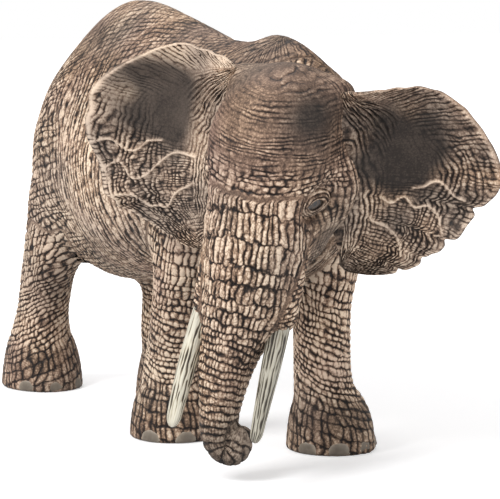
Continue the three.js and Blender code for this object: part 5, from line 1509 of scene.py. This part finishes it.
for name, bearings in NAIL_BEARINGS.items():
    foot = leg_rows[name + "_leg"][-2]
    blocks, nail_points, rises, base = [[], []], [], [], 0
    for bearing in bearings:
        angle = math.radians(bearing)
        ahead = np.array([math.sin(angle), -math.cos(angle), 0])
        beside = np.array([math.cos(angle), math.sin(angle), 0])
        reach = NAIL_START_SHARE * math.hypot(foot[3] * math.sin(angle), foot[4] * math.cos(angle))
        start = np.array([foot[0], foot[1], NAIL_HEIGHT]) + ahead * reach
        q = start + wide[..., None] * beside + tall[..., None] * UPWARDS
        q = laid(q.reshape(-1, 3), NAIL_TIMES, SKIN_STEP)
        q = q + (lift.ravel() - NAIL_SINK)[:, None] * (ahead + NAIL_LEAN * UPWARDS)
        q[:, 2] = np.maximum(q[:, 2], NAIL_CLEARANCE)
        points, facets, first = wrapped(q.reshape(*ring.shape, 3)[:, ::-1])
        nail_points.append(points)
        rises.append(rise[first])
        for k in (0, 1):
            blocks[k].append(facets[k] + base)
        base += len(points)
    add_piece(name + "_toenails", np.vstack(nail_points), [np.vstack(block) for block in blocks],
              nail_material, {"rise": np.concatenate(rises)})

# Tail. A separate moulding of rigid PVC on a peg in the rump: a wrinkled stalk that ends in a tuft of
# hair, painted darker than the hide.
TAIL_LENGTH = 0.034
TAIL_WIDTH = 0.0028
TAIL_PEG_LENGTH = 0.005
TAIL_STEPS, TAIL_AROUND, TAIL_ROUNDING = 44, 72, 0.9
TAIL_ROOT_SHARES = [0.522, 0.785]
# Rows from root to tip: back and up from the root, half width.
TAIL_SHARES = [
    [0, 0, 0.5], [0.09, -0.09, 0.5], [0.125, -0.3, 0.42], [0.125, -0.55, 0.36], [0.115, -0.75, 0.4],
    [0.105, -0.9, 0.52], [0.1, -1, 0.3]]
# The noise on the tail: its turns count this many units each way, and its length one unit per this.
TAIL_NOISE_TURN, TAIL_NOISE_LENGTH = 1.6, 0.0011
# Lengths over which the hairs of the tuft wave once in each of two ways, over a turn.
LONG_WAVE, SHORT_WAVE = 0.0030, 0.0013
# Rings and hairs are cut only where the tail's half width is more than this.
LEAST_TAIL_RADIUS = 0.0004


def wavering(q, size, amount, salt):
    """Places pushed about by smooth noise, so that a pattern on them wanders."""
    return q + amount * np.stack([cloud(q / size, salt + k) for k in range(3)], 1)


def crackle(q, salt):
    """How far each point lies from the crack between two cells: the distance to the second nearest of
    one scattered point per unit cell, less that to the nearest."""
    base = np.floor(q)
    rest = q - base
    nearest, second = np.full(len(q), np.inf), np.full(len(q), np.inf)
    for step in itertools.product((-1, 0, 1), repeat=3):
        square = ((np.array(step) + 0.1 + 0.8 * scattered(base + step, salt) - rest) ** 2).sum(1)
        second = np.minimum(second, np.maximum(nearest, square))
        nearest = np.minimum(nearest, square)
    return np.sqrt(second) - np.sqrt(nearest)


tail_material, tree, shader = new_material("tail_paint")
given = carried(tree, "relief", "tuft")
level = chained(tree, noise(tree, 1500.0, 4.0), ("MULTIPLY_ADD", 0.4, given["relief"]))
stalk_colour = ramp(tree, level, [
    (0.25, (0.018, 0.012, 0.009)), (0.7, (0.150, 0.100, 0.070)), (1.2, (0.360, 0.260, 0.190))])
tuft_colour = ramp(tree, level, [
    (0.25, (0.006, 0.005, 0.004)), (0.8, (0.035, 0.027, 0.022)), (1.2, (0.120, 0.095, 0.078))])
plugged(tree, shader, {
    "Base Color": mixed(tree, given["tuft"], stalk_colour, tuft_colour), "Roughness": 0.62,
    "Normal": bump(tree, level, 0.00008, 0.6)})
root = np.array([0, TAIL_ROOT_SHARES[0] * BODY_LENGTH, TAIL_ROOT_SHARES[1] * BODY_HEIGHT])
rows = [[0, -TAIL_PEG_LENGTH, 0, 0.5 * TAIL_WIDTH]] + [
    [0, y * TAIL_LENGTH, z * TAIL_LENGTH, r * TAIL_WIDTH] for y, z, r in TAIL_SHARES]
tail = Tube(through(np.array(rows) + [*root, 0], TAIL_STEPS), SIDEWAYS, TAIL_AROUND, TAIL_ROUNDING)
tuft = risen(tail.lengths / tail.lengths[-1], 0.66, 0.78)
places = tail.noise_places(TAIL_NOISE_TURN, TAIL_NOISE_LENGTH)
cracks = crackle(wavering(places.reshape(-1, 3), 1.5, 0.4, 401), 402).reshape(places.shape[:2])
rings = np.sqrt(np.clip(cracks / 0.35, 0, 1))
strand = tail.turn * 11 + 1.6 * np.sin(tail.lengths / LONG_WAVE) \
    + 0.8 * np.sin(tail.lengths / SHORT_WAVE + 2 * tail.turn)
relief = rings + (np.abs(np.sin(strand / 2)) ** 0.6 - rings) * tuft
cut = (0.14 + 0.22 * tuft) * (relief - MIDDLE_RELIEF) * (tail.radii > LEAST_TAIL_RADIUS)
add_wrapped("tail_hide", tail.grid(tail.radii * (1 + cut)), tail_material, {"relief": relief, "tuft": tuft},
            ["tail"])

# Studio. The figure stands on a white sweep under a large soft lamp at the upper left, filled from
# the right, and is photographed with a long lens a little above the height of its back.
CAMERA_AZIMUTH, CAMERA_HEIGHT_ANGLE = math.radians(-29.2), math.radians(6.7)
CAMERA_DISTANCE = 0.470
CAMERA_TARGET = np.array([0.0173, 0.0134, 0.0331]) + FIGURE_PLACE
# The lens, from a focal length and a picture's width in pixels, on a sensor of this many millimetres.
PHOTO_WIDTH = 500
FOCAL_PIXELS = 2241.9
SENSOR_WIDTH = 36


def looking(thing, place, target):
    """Sets a lamp or camera at a place, turned to look at a target."""
    thing.location = place
    thing.rotation_euler = Vector(np.subtract(target, place)).to_track_quat("-Z", "Y").to_euler()
    bpy.context.scene.collection.objects.link(thing)


camera_back = np.array([
    math.sin(CAMERA_AZIMUTH) * math.cos(CAMERA_HEIGHT_ANGLE),
    -math.cos(CAMERA_AZIMUTH) * math.cos(CAMERA_HEIGHT_ANGLE), math.sin(CAMERA_HEIGHT_ANGLE)])
camera_right = np.array([math.cos(CAMERA_AZIMUTH), math.sin(CAMERA_AZIMUTH), 0])
lens = bpy.data.cameras.new("camera")
lens.sensor_width = SENSOR_WIDTH
lens.lens = SENSOR_WIDTH * FOCAL_PIXELS / PHOTO_WIDTH
lens.clip_start, lens.clip_end = 0.01, 20
camera = bpy.data.objects.new("camera", lens)
looking(camera, CAMERA_TARGET + camera_back * CAMERA_DISTANCE, CAMERA_TARGET)
bpy.context.scene.camera = camera

# Lamps: name, right, towards the camera and up from the figure in metres, side length, power.
LAMPS = [
    ("key_lamp", -0.55, 0.55, 0.75, 0.45, 8.5), ("fill_lamp", 0.8, 0.5, 0.3, 0.6, 2.2),
    ("top_lamp", -0.1, -0.45, 0.9, 0.5, 3.0)]
LAMP_TARGET = [0, 0, 0.04]
flat_back = np.array([camera_back[0], camera_back[1], 0]) / math.cos(CAMERA_HEIGHT_ANGLE)
for name, right, near, up, size, power in LAMPS:
    light = bpy.data.lights.new(name, "AREA")
    light.shape, light.size, light.energy = "DISK", size, power
    place = camera_right * right + flat_back * near + [0, 0, up]
    looking(bpy.data.objects.new(name, light), place, LAMP_TARGET)

# The world is white to the camera and dimmer as light on the figure.
WORLD_STRENGTH = 0.42
world = bpy.data.worlds.new("studio")
bpy.context.scene.world = world
world.use_nodes = True
tree = world.node_tree
path = shader_node(tree, "LightPath").outputs
shown = chained(tree, path["Is Camera Ray"], ("MAXIMUM", path["Is Transmission Ray"]))
strength = shader_node(tree, "MapRange", {"Value": shown, "To Min": WORLD_STRENGTH, "To Max": 1.0})
plugged(tree, tree.nodes["Background"], {"Color": (1, 1, 1, 1), "Strength": strength.outputs["Result"]})

# The sweep is lit from within towards its far parts, so that it runs into the white of the world.
SWEEP_HALF = 3
GLOW_START, GLOW_END = 0.12, 0.6
floor_mesh = bpy.data.meshes.new("floor")
floor_corners = [(x * SWEEP_HALF, y * SWEEP_HALF, 0) for x, y in ((-1, -1), (1, -1), (1, 1), (-1, 1))]
floor_mesh.from_pydata(floor_corners, [], [(0, 1, 2, 3)])
floor = bpy.data.objects.new("floor", floor_mesh)
bpy.context.scene.collection.objects.link(floor)
paper, tree, shader = new_material("white_sweep")
tone = ramp(tree, noise(tree, 900.0, 2.0), [(0.3, (0.80, 0.80, 0.81)), (0.7, (0.83, 0.83, 0.84))])
away = shader_node(tree, "VectorMath", {0: own_place(tree)}, operation="LENGTH").outputs["Value"]
glow = shader_node(tree, "MapRange", {
    "Value": away, "From Min": GLOW_START, "From Max": GLOW_END,
    "To Min": WORLD_STRENGTH, "To Max": 1.0})
camera_ray = shader_node(tree, "LightPath").outputs["Is Camera Ray"]
plugged(tree, shader, {
    "Base Color": tone, "Roughness": 0.9, "Specular IOR Level": 0.0, "Emission Color": (1, 1, 1, 1),
    "Emission Strength": chained(tree, camera_ray, ("MULTIPLY", glow.outputs["Result"]))})
floor_mesh.materials.append(paper)

bpy.context.scene.view_settings.view_transform = "Standard"
